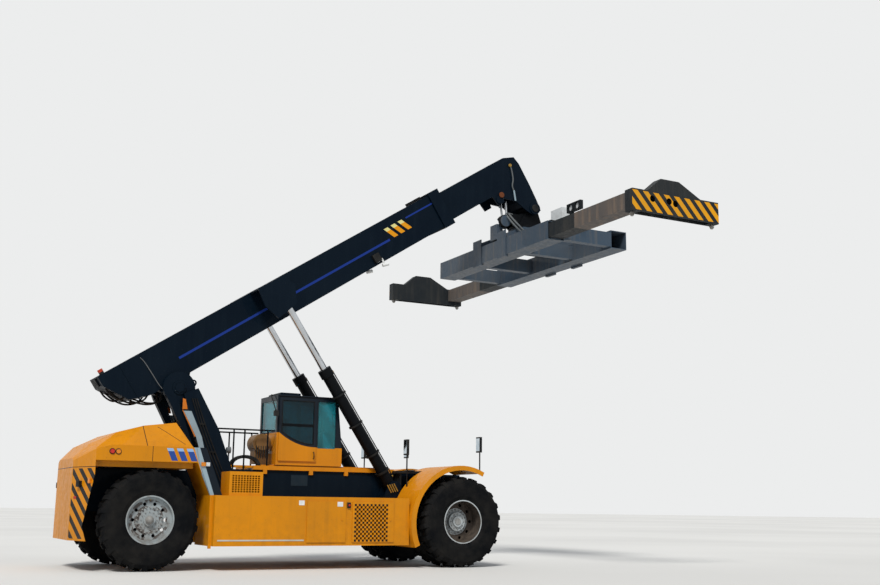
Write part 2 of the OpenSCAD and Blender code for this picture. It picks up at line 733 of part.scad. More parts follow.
// Outer boom: a box with a sloped tail, drawn along the boom
rib_s = -365;
seam_s = -860;
rib_h = 14;
module boom_outer() {
    w = outer_w/2;
    lug_r = 230;
    color(navy) placed() on_boom() difference() {
        union() {
            difference() {
                plate_xz([[-outer_back, outer_top - 240], [-outer_back + 330, outer_drop + 150],
                    [-outer_back + 800, outer_drop],
                    [outer_front, outer_drop], [outer_front, outer_top], [-outer_back, outer_top]], -w,
                        outer_w);
                plate_xz([[-outer_back + 30, outer_top - 240],
                    [-outer_back + 350, outer_drop + 150 + boom_wall],
                    [-outer_back + 810, outer_drop + boom_wall], [outer_front + 1, outer_drop + boom_wall],
                    [outer_front + 1, outer_top - boom_wall], [-outer_back + 30, outer_top - boom_wall]],
                    -w + boom_wall, outer_w - 2*boom_wall);
            }
            // Collar at the front end
            difference() {
                block([outer_front - 330, -w - 45, outer_drop - 45], [outer_front, w + 45, outer_top + 45]);
                block([outer_front - 340, -w, outer_drop], [outer_front + 1, w, outer_top]);
            }
            // Rib round the tail and the seam ahead of it
            for (s = [rib_s, seam_s]) both_sides()
                block([s, w - 1, outer_drop + 20], [s + 30, w + rib_h, outer_top - 20]);
            // Lugs on the pivot
            both_sides() difference() {
                hull() {
                    bar_y(lug_r, w - 190, w - 30, 0, 0);
                    block([-380, w - 190, outer_drop - 5], [420, w - 30, outer_drop + 3]);
                }
                bar_y(pin_r + run, w - 200, w, 0, 0);
                // The inner boom slides over the lugs
                block([-lug_r - 200, w - 200, outer_drop + boom_wall], [lug_r + 200, w, outer_drop + lug_r]);
            }
            // Brackets over the rod eyes
            both_sides() {
                plate_xz([[eye_s - 420, eye_t - 330], [eye_s + 150, eye_t - 240], [eye_s + 330, eye_t + 160],
                    [eye_s + 200, outer_top], [eye_s - 500, outer_top], [eye_s - 560, eye_t + 60]],
                    lift_y + 170, 40);
                plate_xz([[eye_s - 500, outer_top - 40], [eye_s - 500, outer_top], [eye_s + 200, outer_top],
                    [eye_s + 200, outer_top - 40]], w - 5, lift_y + 180 - w);
            }
        }
    }
}

lamp_s = 5760;
beacon_s = 130 - outer_back;
module boom_fittings() {
    w = outer_w/2;
    color("#1d2328") placed() on_boom() {
        // Pads that the inner boom slides on
        block([outer_front - 300, -inner_w/2, outer_drop + boom_wall],
            [outer_front - 20, inner_w/2, inner_low - seat]);
        block([outer_front - 300, -inner_w/2, inner_top + seat],
            [outer_front - 20, inner_w/2, outer_top - boom_wall]);
        both_sides() block([outer_front - 300, inner_w/2 + seat, inner_low + 60],
            [outer_front - 20, w - boom_wall, inner_top - 60]);
        // Guards of the hoses on top of the collar
        for (x = [-700, -480]) block([outer_front + x, -160, outer_top],
            [outer_front + x + 90, 160, outer_top + 70]);
        // Work lamps on the sides, and the beacon on the tail
        both_sides() block([lamp_s, w, outer_drop + 60], [lamp_s + 190, w + 90, outer_drop + 270]);
        translate([beacon_s, -w + 100, outer_top]) cylinder(r = 55, h = 110, $fn = 32);
    }
}

inner_back = 450;
neck_s = head_s - 1090;
module boom_inner() {
    w = inner_w/2;
    color(navy) placed() on_boom() difference() {
        block([inner_back, -w, inner_low], [neck_s, w, inner_top]);
        block([inner_back - 1, -w + boom_wall, inner_low + boom_wall],
            [neck_s + 1, w - boom_wall, inner_top - boom_wall]);
    }
}

// Bent head of the inner boom: two cheeks under a closed top, open below for the yoke and the dampers
head_pin_r = 70;
yoke_y = 250;
cheek_t = 50;
damper_s = head_s - 100;
damper_t = inner_top - 148;
damper_pin_r = 40;
module boom_head() {
    w = inner_w/2;
    t = -head_drop;
    side = [[neck_s, inner_low], [neck_s, inner_top], [head_s - 150, inner_top],
        [head_s + 180, inner_top - 120],
        [head_s + 230, inner_top - 340], [head_s + 220, 40], [head_s + 190, t + 170], [head_s + 150, t - 130],
        [head_s - 120, t - 150], [head_s - 260, t + 60], [head_s - 420, t + 420],
            [neck_s + 180, inner_low - 40]];
    hollow = [[neck_s + 30, inner_low - 400], [neck_s + 30, inner_top - 30], [head_s - 160, inner_top - 30],
        [head_s + 155, inner_top - 142], [head_s + 198, inner_top - 345], [head_s + 188, 40],
        [head_s + 188, t + 340], [head_s + 400, t + 340], [head_s + 400, t - 400], [neck_s + 30, t - 400]];
    color(navy) placed() on_boom() difference() {
        union() {
            difference() {
                plate_xz(side, -w, inner_w);
                plate_xz(hollow, -w + cheek_t, inner_w - 2*cheek_t);
            }
            both_sides() {
                bar_y(160, w - 5, w + 30, head_s, t);
                bar_y(110, w - 5, w + 25, neck_s + 220, 60);
                plate_xz([[neck_s + 60, inner_low + 60], [neck_s + 110, -60], [neck_s + 330, -60],
                    [neck_s + 380, inner_low + 60]],
                    w - cheek_t, cheek_t);
            }
            bar_y(damper_pin_r, -w + 10, w - 10, damper_s, damper_t);
            bar_y(head_pin_r, -w - 20, w + 20, head_s, t);
        }
    }
}

// Lift cylinders: each is drawn from its foot up to the rod eye
module on_lift() {
    translate([foot_x, 0, foot_z]) rotate([0, -(180 - lift_angle), 0]) children();
}
module along(r, a, b) {
    translate([a, 0, 0]) rotate([0, 90, 0]) cylinder(r = r, h = b - a, $fn = 48);
}
module lift_barrel(side) {
    color("#14181b") placed() translate([0, side*lift_y, 0]) on_lift() difference() {
        union() {
            along(barrel_r, 110, barrel_len);
            along(barrel_r + 25, barrel_len - 200, barrel_len);
            bar_y(130, -100, 100);
        }
        along(rod_r + run, 180, barrel_len + 1);
        along(barrel_r - 25, 180, barrel_len - 120);
        bar_y(foot_pin_r + run, -101, 101);
    }
}
module lift_rod(side) {
    piston = 1706;
    color("#c9cdd0") placed() translate([0, side*lift_y, 0]) on_lift() difference() {
        union() {
            along(rod_r, piston, lift_len - 90);
            along(barrel_r - 27, piston, piston + 100);
            bar_y(135, -110, 110, lift_len, 0);
        }
        bar_y(60, -111, 111, lift_len, 0);
    }
}
module lift_barrel_right() { lift_barrel(-1); }
module lift_barrel_left() { lift_barrel(1); }
module lift_rod_right() { lift_rod(-1); }
module lift_rod_left() { lift_rod(1); }

// Dampers from the top of the boom head down to the arms of the yoke
damper_x = pivot_x + damper_s*cos(boom_angle) - damper_t*sin(boom_angle);
damper_z = pivot_z + damper_s*sin(boom_angle) + damper_t*cos(boom_angle);
arm_x = head_x - 730;
arm_z = head_z - 270;
damper_len = sqrt(pow(damper_x - arm_x, 2) + pow(damper_z - arm_z, 2));
damper_angle = 180 - atan2(damper_z - arm_z, damper_x - arm_x);
damper_y = 120;
damper_r = 55;
damper_barrel_len = 950;
arm_y = damper_y + 70;
module on_damper() {
    translate([damper_x, 0, damper_z]) rotate([0, damper_angle, 0]) children();
}
module damper_barrels() {
    color("#14181b") placed() both_sides() translate([0, damper_y, 0]) on_damper() difference() {
        union() {
            bar_y(75, -45, 45);
            along(damper_r, 60, damper_barrel_len);
        }
        bar_y(damper_pin_r + run, -46, 46);
        along(30 + run, 100, damper_barrel_len + 1);
        along(45, 100, damper_barrel_len - 60);
    }
}
module damper_rods() {
    piston = 450;
    color("#c9cdd0") placed() both_sides() translate([0, damper_y, 0]) on_damper() difference() {
        union() {
            along(30, piston, damper_len - 40);
            along(44, piston, piston + 60);
            bar_y(60, -45, 45, damper_len, 0);
        }
        bar_y(30, -46, 46, damper_len, 0);
    }
}

// Yoke that hangs on the head pin and carries the slew ring
ring_top = head_z - 560;
ring_r = 520;
module head_yoke() {
    color("#23282c") placed() difference() {
        union() {
            bar_y(170, -yoke_y, yoke_y, head_x, head_z);
            plate_xz([[head_x - 160, head_z], [head_x + 160, head_z], [head_x + 330, ring_top + 90],
                [head_x + 330, ring_top],
                [head_x - 420, ring_top], [head_x - 420, ring_top + 90]], -yoke_y, 2*yoke_y);
            both_sides() plate_xz([[head_x - 300, ring_top], [head_x - 200, head_z - 100],
                [head_x - 400, arm_z + 80], [arm_x - 20, arm_z + 80],
                [arm_x - 90, arm_z], [arm_x - 40, arm_z - 80], [head_x - 430, ring_top]], arm_y, 40);
            translate([head_x, 0, ring_top]) cylinder(r = ring_r, h = 60, $fn = 72);
        }
        bar_y(head_pin_r + run, -yoke_y - 1, yoke_y + 1, head_x, head_z);
    }
}

// Slew ring with the carriage that holds the spreader's main frame
tunnel_w = beam_w + 60;
tunnel_x = lock_pitch_x/2 + 90 - tunnel_w/2 - 30;
main_top = landing_z + 540;
main_low = landing_z + 60;
tunnel_wall = 18;
rail_h = 18;
beam_z = main_low + 58;
drum_r = 150;
drum_z = landing_z + 985;
cheek_y0 = 420;
cheek_y1 = 840;
module slew_carriage() {
    face = tunnel_x + tunnel_w/2 + seat;
    shoe = main_top + rail_h + seat;
    color("#5d7380") placed() translate([head_x, 0, 0]) {
        translate([0, 0, ring_top - 120]) cylinder(r = ring_r - 20, h = 120 - seat, $fn = 72);
        both_sides() plate_xz([[-face - 1, shoe], [-face - 1, shoe + 90], [-600, ring_top - 110],
            [600, ring_top - 110],
            [face + 1, shoe + 90], [face + 1, shoe]], 480, 280);
        block([-540, -490, shoe + 120], [540, 490, ring_top - 105]);
        // Cheeks outside the main frame, with lips that hook under it
        for (s = [-1, 1], v = [-1, 1]) {
            block([s > 0 ? face : -face - 25, v > 0 ? cheek_y0 : -cheek_y1, landing_z + 35],
                [s > 0 ? face + 25 : -face, v > 0 ? cheek_y1 : -cheek_y0, shoe + 180]);
            block([s > 0 ? face - 60 : -face - 1, v > 0 ? cheek_y0 : -cheek_y1, landing_z + 35],
                [s > 0 ? face + 1 : -face + 60, v > 0 ? cheek_y1 : -cheek_y0, main_low + 20 - seat]);
        }
    }
}

// Hose drum on its post at the rear, clear of the boom head when the boom is steep
module hose_drum() {
    x = -tunnel_x - tunnel_w/2;
    low = main_top + rail_h + 20;
    color("#5d7380") placed() translate([head_x, 0, 0]) {
        block([x - 25, -cheek_y0 + seat, low], [x + 155, -80, drum_z]);
        block([x + 60, -cheek_y0 - 30, drum_z - 120], [x + 240, -cheek_y0 + seat + 1, drum_z + 140]);
        bar_y(drum_r, -cheek_y0 - 155, -cheek_y0 - 29, x + 150, drum_z + 70);
    }
}

// Main frame of the spreader: two tunnels tied by cross members, with pads that carry the beams
module spreader_frame() {
    half = main_len/2;
    inner = tunnel_w/2 - tunnel_wall;
    color("#2c3338") placed() translate([head_x, 0, 0]) {
        for (s = [-1, 1]) {
            difference() {
                block([s*tunnel_x - tunnel_w/2, -half, main_low + 20],
                    [s*tunnel_x + tunnel_w/2, half, main_top]);
                block([s*tunnel_x - inner, -half - 1, main_low + 20 + tunnel_wall],
                    [s*tunnel_x + inner, half + 1, main_top - tunnel_wall]);
            }
            block([s*tunnel_x - 150, s*half - (s > 0 ? 200 : 0), main_low + 37],
                [s*tunnel_x + 150, s*half + (s > 0 ? 0 : 200), beam_z - seat]);
            // Rails for the side shift
            block([s*tunnel_x - 120, -2100, main_top - 1], [s*tunnel_x + 120, 2100, main_top + rail_h]);
        }
        for (y = [-half, -1100, 900, half - 200])
            block([-tunnel_x + tunnel_w/2 - 5, y, main_low + 60],
                [tunnel_x - tunnel_w/2 + 5, y + 200, main_top - 60]);
    }
}
module spreader_gear() {
    x = -480;
    end_y = -main_len/2;
    tray_t = 30;
    box_y = end_y + 410;
    post_h = 320;
    color("#d9dde0") placed() translate([head_x, 0, main_top + seat]) {
        // Tray on the rear tunnel, with the control box
        block([-tunnel_x - 150, end_y, 0], [-tunnel_x + 230, end_y + 650, tray_t]);
        block([-tunnel_x + 229, end_y, 12], [x + 280, end_y + 930, tray_t]);
        block([x, box_y, tray_t - 1], [x + 260, box_y + 500, 540]);
        // Post and frame of the two work lamps
        block([x, end_y, tray_t - 1], [x + 80, end_y + 80, post_h + 1]);
        difference() {
            block([x, end_y - 370, post_h], [x + 90, end_y + 210, post_h + 220]);
            for (y = [-220, 60]) bar_x(85, x - 1, x + 60, end_y + y, post_h + 110);
        }
    }
}

// A telescopic beam with its end beam. It runs in the rear tunnel on the right and the front one on the left
beam_len = 5350;
module beam(side) {
    tip = lock_pitch_y/2 - end_beam_w/2 + 10;
    root = tip - beam_len;
    wall = 16;
    mid = side*tunnel_x;
    difference() {
        union() {
            difference() {
                block([mid - beam_w/2, root, beam_z], [mid + beam_w/2, tip + 10, beam_z + beam_h]);
                block([mid - beam_w/2 + wall, root - 1, beam_z + wall],
                    [mid + beam_w/2 - wall, tip - 200, beam_z + beam_h - wall]);
            }
            // Pad on the root that runs under the tunnel's top
            block([mid - 150, root, beam_z + beam_h - 1],
                [mid + 150, root + 200, main_top - tunnel_wall - seat]);
            difference() {
                block([-end_beam_x, tip, landing_z], [end_beam_x, tip + end_beam_w, landing_z + end_beam_h]);
                block([-end_beam_x + 220, tip + 25, landing_z - 1],
                    [end_beam_x - 220, tip + end_beam_w - 25, landing_z + end_beam_h - 25]);
            }
            // Raised middle of the end beam
            plate_xz([[-800, landing_z + end_beam_h - 1], [-420, landing_z + 820], [90, landing_z + 820],
                [700, landing_z + end_beam_h - 1]],
                tip, end_beam_w);
        }
        // Round openings in the outer face
        for (p = [[-660, 330], [-20, 300], [-200, 330]])
            bar_y(75, tip + end_beam_w - 40, tip + end_beam_w + 1, p[0], landing_z + p[1]);
        for (s = [-1, 1]) translate([s*lock_pitch_x/2, lock_pitch_y/2, landing_z]) {
            translate([0, 0, -1]) cylinder(r = lock_r + run, h = 262, $fn = 32);
            translate([0, 0, 60]) cylinder(r = collar_r + 5, h = 201, $fn = 32);
        }
    }
}
lock_r = 45;
collar_r = 70;
module beam_right() {
    color("#3a3f42") placed() translate([head_x, 0, 0]) mirror([0, 1, 0]) beam(-1);
}
module beam_left() {
    color("#3a3f42") placed() translate([head_x, 0, 0]) beam(1);
}

// A twistlock: shaft, collar and a long head, turned to its locked place
module twistlock(side_x, side_y) {
    color("#b9bdbf") placed() translate([head_x + side_x*lock_pitch_x/2, side_y*lock_pitch_y/2, landing_z]) {
        translate([0, 0, -60]) cylinder(r = lock_r, h = 200, $fn = 32);
        translate([0, 0, 60 + seat]) cylinder(r = collar_r, h = 40, $fn = 32);
        intersection() {
            translate([0, 0, -95]) cylinder(r1 = 30, r2 = 62, h = 60, $fn = 32);
            block([-62, -30, -95], [62, 30, -34]);
        }
    }
}
module twistlock_right_rear() { twistlock(-1, -1); }
module twistlock_right_front() { twistlock(1, -1); }
module twistlock_left_rear() { twistlock(-1, 1); }
module twistlock_left_front() { twistlock(1, 1); }

chassis_frame();
boom_towers();
counterweight();
engine_hood();
rear_fenders();
side_box_right();
locker_frame();
side_box_left();
front_fenders();
deck();
handrails();
engine_block();
front_axle();
rear_axle();
mirrors();
body_lamps();
cable_chain();
step_box();
lift_feet();
front_tyres_right();
front_rims_right();
front_tyres_left();
front_rims_left();
rear_tyre_right();
rear_rim_right();
rear_tyre_left();
rear_rim_left();
knuckle_right();
knuckle_left();
cab_shell();
cab_glass();
cab_interior();
cab_unit();
cab_door();
cab_door_glass();
service_door();
mesh_door();
boom_outer();
boom_fittings();
boom_inner();
boom_head();
lift_barrel_right();
lift_barrel_left();
lift_rod_right();
lift_rod_left();
damper_barrels();
damper_rods();
head_yoke();
slew_carriage();
hose_drum();
spreader_frame();
spreader_gear();
beam_right();
beam_left();
twistlock_right_rear();
twistlock_right_front();
twistlock_left_rear();
twistlock_left_front();
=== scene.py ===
import json
import math

import bmesh
import bpy
from mathutils import Matrix, Vector


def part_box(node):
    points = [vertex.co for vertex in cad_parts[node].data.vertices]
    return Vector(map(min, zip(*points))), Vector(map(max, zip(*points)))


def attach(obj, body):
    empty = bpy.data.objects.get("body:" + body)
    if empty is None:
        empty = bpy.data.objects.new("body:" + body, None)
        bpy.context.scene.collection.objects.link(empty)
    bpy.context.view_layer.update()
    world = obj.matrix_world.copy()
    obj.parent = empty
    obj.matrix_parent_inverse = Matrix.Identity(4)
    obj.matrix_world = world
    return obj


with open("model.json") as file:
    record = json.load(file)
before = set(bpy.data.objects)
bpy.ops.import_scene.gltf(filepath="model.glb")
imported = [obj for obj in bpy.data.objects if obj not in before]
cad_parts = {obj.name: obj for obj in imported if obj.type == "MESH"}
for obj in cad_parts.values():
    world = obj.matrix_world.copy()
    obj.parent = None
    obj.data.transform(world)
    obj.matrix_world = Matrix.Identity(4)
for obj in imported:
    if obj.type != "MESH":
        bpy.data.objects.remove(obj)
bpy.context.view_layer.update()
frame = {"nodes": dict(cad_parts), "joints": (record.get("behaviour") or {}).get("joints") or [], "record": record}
nodes = frame["nodes"]
joints = {j["name"]: j for j in frame["joints"]}

# The frame's own measures, in metres. Lengths are counted from the front axle, at FRONT_X
front_lo, front_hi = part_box("front_tyres_right")
rear_lo, rear_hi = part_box("rear_tyre_right")
FRONT_X = (front_lo[0] + front_hi[0]) / 2
TYRE_R = front_hi[2] / 2
REAR_X = (rear_lo[0] + rear_hi[0]) / 2 - FRONT_X
PIVOT = Vector(joints["boom_luff"]["pos_m"])
BOOM_AXIS = -Vector(joints["boom_telescope"]["axis"])
BOOM_ANGLE = math.atan2(BOOM_AXIS.z, BOOM_AXIS.x)
HEAD = Vector(joints["head_pitch"]["pos_m"])
LIFT_FOOT = Vector(joints["lift_barrel_right_swing"]["pos_m"])
LIFT_AXIS = Vector(joints["lift_rod_right_slide"]["axis"])
# The outer boom's side plates stand this far outside the inner boom
BOOM_PLATES = 0.06
OUTER_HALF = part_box("boom_inner")[1][1] + BOOM_PLATES
cab_lo, cab_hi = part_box("cab_shell")
SIDE_Y = -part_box("side_box_right")[0][1]
FENDER_Y = -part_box("rear_fenders")[0][1]
TAIL_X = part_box("counterweight")[0][0] - FRONT_X
BEAM_END_Y = -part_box("beam_right")[0][1]
# The chassis frame's side face
FRAME_Y = 0.60

# Transforms from a piece's own drawing place to the frame
BODY = Matrix.Translation((FRONT_X, 0, 0))
BOOM = Matrix.Translation(PIVOT) @ Matrix.Rotation(-BOOM_ANGLE, 4, "Y")
HEAD_PLACE = Matrix.Translation((HEAD.x, 0, 0))
LIFT = Matrix.Translation(LIFT_FOOT) @ LIFT_AXIS.to_track_quat("X", "Z").to_matrix().to_4x4()
CAB = Matrix.Translation((cab_lo[0], 0, 0))
CAB_FRONT = Matrix.Translation((cab_hi[0], 0, 0))


# Camera: width of the photo and focal length in its pixels, and the place and heading solved
# from its lines
PHOTO_W = 880
FOCAL_PX = 1090.96
SENSOR = 36.0
CAMERA_AT = (-12.46, -24.34, 1.33)
CAMERA_PITCH, CAMERA_HEADING, CAMERA_ROLL = (math.radians(a) for a in (11.16, 27.88, 0.66))


def placed(name, data):
    """A new object in the scene."""
    thing = bpy.data.objects.new(name, data)
    bpy.context.scene.collection.objects.link(thing)
    return thing


def add_camera():
    """The camera stands where the photo was taken, low on the machine's right."""
    data = bpy.data.cameras.new("camera")
    data.sensor_width = SENSOR
    data.lens = FOCAL_PX * SENSOR / PHOTO_W
    data.clip_end = 1000
    cam = placed("camera", data)
    heading = Matrix.Rotation(-CAMERA_HEADING, 4, "Z")
    pitch = Matrix.Rotation(math.pi / 2 + CAMERA_PITCH, 4, "X")
    roll = Matrix.Rotation(CAMERA_ROLL, 4, "Z")
    cam.matrix_world = BODY @ Matrix.Translation(CAMERA_AT) @ heading @ pitch @ roll
    bpy.context.scene.camera = cam


add_camera()


def linear(hex_colour):
    """A colour written as web text, in linear values."""
    parts = [int(hex_colour[i:i + 2], 16) / 255 for i in (0, 2, 4)]
    return (*(c / 12.92 if c <= 0.04045 else ((c + 0.055) / 1.055) ** 2.4 for c in parts), 1.0)


class Graph:
    """A material's nodes, made one after another."""

    def __init__(self, name, roughness, colour, metallic=0.0, coat=0.0, gloss=0.12):
        self.material = bpy.data.materials.new(name)
        self.material.use_nodes = True
        self.tree = self.material.node_tree
        self.shader = self.tree.nodes["Principled BSDF"]
        constants = {"Base Color": linear(colour), "Roughness": roughness, "Metallic": metallic,
                     "Coat Weight": coat, "Specular IOR Level": gloss}
        for socket, value in constants.items():
            self.shader.inputs[socket].default_value = value
        self.place = self.tree.nodes.new("ShaderNodeTexCoord").outputs["Object"]

    def new(self, kind, **values):
        node = self.tree.nodes.new("ShaderNode" + kind)
        for key, value in values.items():
            setattr(node, key, value)
        return node

    def link(self, out, socket):
        self.tree.links.new(out, socket)

    def noise(self, scale, detail, stretch=(1, 1, 1)):
        """A noise value from 0 to 1 at a scale in cycles a metre."""
        mapping = self.new("Mapping")
        mapping.inputs["Scale"].default_value = stretch
        self.link(self.place, mapping.inputs["Vector"])
        node = self.new("TexNoise")
        node.inputs["Scale"].default_value = scale
        node.inputs["Detail"].default_value = detail
        node.inputs["Roughness"].default_value = 0.55
        self.link(mapping.outputs[0], node.inputs["Vector"])
        return node.outputs[0]

    def steps(self, value, low, high, out_low=0.0, out_high=1.0):
        """value taken from low..high to out_low..out_high, and held outside."""
        node = self.new("MapRange")
        node.clamp = True
        limits = {"From Min": low, "From Max": high, "To Min": out_low, "To Max": out_high}
        for key, number in limits.items():
            node.inputs[key].default_value = number
        self.link(value, node.inputs["Value"])
        return node.outputs[0]

    def math(self, kind, a, b=None):
        node = self.new("Math", operation=kind)
        for socket, value in zip(node.inputs, (a, b)):
            if value is None:
                continue
            if isinstance(value, (int, float)):
                socket.default_value = value
            else:
                self.link(value, socket)
        return node.outputs[0]

    def over(self, value, limit):
        """1 where a value is over a limit."""
        return self.math("GREATER_THAN", value, limit)

    def under(self, value, limit):
        return self.math("LESS_THAN", value, limit)

    def minus(self, a, b):
        return self.math("SUBTRACT", a, b)

    def times(self, a, b):
        return self.math("MULTIPLY", a, b)

    def mix(self, factor, a, b):
        """Colour a where factor is 0 and b where it is 1."""
        node = self.new("Mix", data_type="RGBA")
        sockets = [s for s in node.inputs if s.enabled]
        for socket, value in zip(sockets, (factor, a, b)):
            if isinstance(value, (int, float)):
                socket.default_value = value
            elif isinstance(value, str):
                socket.default_value = linear(value)
            else:
                self.link(value, socket)
        return [s for s in node.outputs if s.enabled][0]

    def axis(self, index):
        """One coordinate of the point, in metres."""
        node = self.new("SeparateXYZ")
        self.link(self.place, node.inputs[0])
        return node.outputs[index]

    def width(self):
        """The point's distance from the machine's middle plane."""
        return self.math("ABSOLUTE", self.axis(1))

    def from_front(self):
        """The point's x, counted from the front axle."""
        return self.minus(self.axis(0), FRONT_X)

    def within(self, value, low, high):
        """1 where a value lies between two limits."""
        return self.times(self.over(value, low), self.under(value, high))

    def all_of(self, *masks):
        """1 where every mask is 1."""
        out = masks[0]
        for mask in masks[1:]:
            out = self.times(out, mask)
        return out

    def sum_of(self, *terms):
        """Each term is a value and its factor."""
        total = None
        for value, factor in terms:
            scaled = self.times(value, factor)
            total = scaled if total is None else self.math("ADD", total, scaled)
        return total

    def bars(self, value, pitch, share):
        """1 over a share of each pitch."""
        return self.under(self.math("FRACT", self.math("DIVIDE", value, pitch)), share)

    def colour(self, out):
        self.link(out, self.shader.inputs["Base Color"])

    def roughness(self, out):
        self.link(out, self.shader.inputs["Roughness"])

    def bump(self, out, strength, distance):
        node = self.new("Bump")
        node.inputs["Strength"].default_value = strength
        node.inputs["Distance"].default_value = distance
        self.link(out, node.inputs["Height"])
        self.link(node.outputs[0], self.shader.inputs["Normal"])

    def surface(self, low, high, bump=0.08, distance=0.0015):
        """Painted metal: roughness between two values, and a fine unevenness."""
        self.roughness(self.steps(self.noise(11, 5), 0.3, 0.75, low, high))
        self.bump(self.noise(60, 4), bump, distance)
        return self.material


def weathered(g, colour, dust, dust_amount, chips="3a3129", chip_amount=0.3):
    """Paint with faded patches, run-down dust streaks and small chips."""
    patch = g.steps(g.noise(0.9, 3), 0.35, 0.7)
    streak = g.steps(g.noise(5, 5, (1.6, 1.6, 0.12)), 0.5, 0.78)
    low = g.steps(g.axis(2), 0.3, 1.6, 1.0, 0.0)
    splash = g.times(low, g.steps(g.noise(7, 6), 0.4, 0.75))
    chip = g.steps(g.noise(26, 6), 0.66, 0.7)
    for mask, share, tint in ((patch, 0.22, dust), (streak, dust_amount, dust),
                              (splash, dust_amount * 1.3, dust), (chip, chip_amount, chips)):
        colour = g.mix(g.times(mask, share), colour, tint)
    return colour


def painted(name, colour, wear, roughness=0.42, coat=0.15, gloss=0.12):
    g = Graph(name, roughness, coat=coat, colour=colour, gloss=gloss)
    g.colour(weathered(g, colour, *wear))
    return g.surface(roughness - 0.1, roughness + 0.22)


def grained(name, roughness, colours, grain, share=1.0, rough=None, bump=None, **base):
    """A material in two colours. grain is a noise's scale and detail and the values between
    which the colour changes, by the given share. rough is the same for the roughness, with its
    two ends, and bump is a noise's scale and detail, strength and depth."""
    g = Graph(name, roughness, colour=base.pop("colour", colours[0]), **base)
    g.colour(g.mix(g.times(g.steps(g.noise(*grain[:2]), *grain[2:]), share), *colours))
    if rough:
        g.roughness(g.steps(g.noise(*rough[:2]), *rough[2:]))
    if bump:
        g.bump(g.noise(*bump[:2]), *bump[2:])
    return g.material


def plastic(name, colour, dust):
    return grained(name, 0.55, (colour, dust), (4, 5, 0.4, 0.75), 0.4,
                   (40, 3, 0.3, 0.7, 0.45, 0.7), (200, 3, 0.1, 0.0008))


def glass(name, colour, deep, clear):
    """Tinted glass. clear is the share of light that it lets through."""
    material = grained(name, 0.06, (colour, deep), (1.5, 3, 0.4, 0.75),
                       rough=(8, 4, 0.45, 0.8, 0.03, 0.16), gloss=0.5)
    shader = material.node_tree.nodes["Principled BSDF"]
    shader.inputs["Transmission Weight"].default_value = clear
    shader.inputs["IOR"].default_value = 1.3
    return material


def lens(name, colour, deep):
    return grained(name, 0.18, (colour, deep), (60, 3, 0.4, 0.7), bump=(160, 2, 0.3, 0.002),
                   coat=0.6)


def flat_paint(name, colour, dirt="7d7468"):
    return grained(name, 0.5, (colour, dirt), (6, 5, 0.4, 0.75), 0.3, (30, 3, 0.3, 0.7, 0.42, 0.65))


# Colours, and wear: the dust's colour and share, then the chips' colour and share
YELLOW, YELLOW_WEAR = "cf8405", ("8a5c1c", 0.3, "4a301a")
NAVY, NAVY_WEAR, NAVY_GLOSS = "04101c", ("16222c", 0.25, "3c4143", 0.15), 0.05
FRONT_RIM_WEAR = ("6d6257", 0.6, "3a3029", 0.5)
REAR_RIM_WEAR = ("6d6257", 0.7, "3a3029", 0.6)
RED, RED_DEEP = "c8281a", "8a1208"
ORANGE, ORANGE_DEEP = "e08a1a", "a8540c"

# One material for each slot of the record
MATERIALS = {
    "yellow_paint": painted("yellow_paint", YELLOW, YELLOW_WEAR),
    "navy_paint": painted("navy_paint", NAVY, NAVY_WEAR, 0.4, 0.03, NAVY_GLOSS),
    "black_paint": painted("black_paint", "070a0e", ("1c1e20", 0.25, "343332", 0.2),
                           0.45, 0.02, 0.06),
    "grey_paint": painted("grey_paint", "4c5558", ("75685a", 0.6, "5a3d2a", 0.7), 0.55, 0.0),
    "tyre": grained("tyre", 0.82, ("0b0d10", "2e2c29"), (3.2, 6, 0.35, 0.75), 0.5,
                    (30, 4, 0.3, 0.7, 0.7, 0.95), (90, 6, 0.35, 0.003), colour="141517",
                    gloss=0.06),
    "wheel_metal": painted("wheel_metal", "a3a7a8", ("6d6257", 0.8, "4a3a2e", 0.5), 0.48, 0.05),
    "cab_glass": glass("cab_glass", "52b9c4", "2a8490", 0.8),
    "engine_iron": grained("engine_iron", 0.7, ("35373a", "4f4840"), (12, 5, 0.4, 0.7),
                           bump=(120, 5, 0.4, 0.002), colour="3a3b3c", metallic=0.4),
    "dark_plastic": plastic("dark_plastic", "17191b", "45433f"),
    "chrome_rod": grained("chrome_rod", 0.12, ("c9cdd1", "8b8b86"), (9, 4, 0.45, 0.8), 0.3,
                          (24, 4, 0.4, 0.7, 0.08, 0.24), colour="c8ccd0", metallic=1.0),
    "lamp_red": lens("lamp_red", RED, RED_DEEP),
    "lock_steel": grained("lock_steel", 0.4, ("8f8f8c", "5e5148"), (14, 5, 0.45, 0.7),
                          rough=(30, 4, 0.35, 0.7, 0.28, 0.6), colour="8c8c8a", metallic=0.9),
}

# Materials of the dressing
DARK = MATERIALS["dark_plastic"]
WHITE = flat_paint("white_panel", "dfe2e2")
SILL = flat_paint("pale_sill", "b9bcb4")
SLATE = flat_paint("slate_plate", "142430", "2c353c")
FLAT_RED = flat_paint("flat_red", "b0261b")
FLAT_ORANGE = flat_paint("flat_orange", "c8701c")
PALE = "8fa3ae"
PALE_STRIP = flat_paint("pale_strip", PALE)
AMBER = lens("amber_lens", ORANGE, ORANGE_DEEP)
CLEAR = lens("clear_lens", "d8dadb", "a9afb2")
BEACON = lens("beacon_lens", "c2401c", "8a260e")
MIRROR = grained("mirror_glass", 0.06, ("cfd8dd", "aebcc6"), (6, 3, 0.4, 0.7), metallic=1.0)
HOSE = plastic("hose_rubber", "121416", "38352f")
HOSE_GREY = plastic("hose_grey", "5c6266", "7a766c")
SEAT_CLOTH = plastic("seat_cloth", "25282d", "3a3c40")
BRASS = painted("brass_fitting", "9a7a34", ("5f5138", 0.4), 0.4)
RUST = painted("rusty_cap", "6a3a1e", ("4a2c1a", 0.5), 0.6)
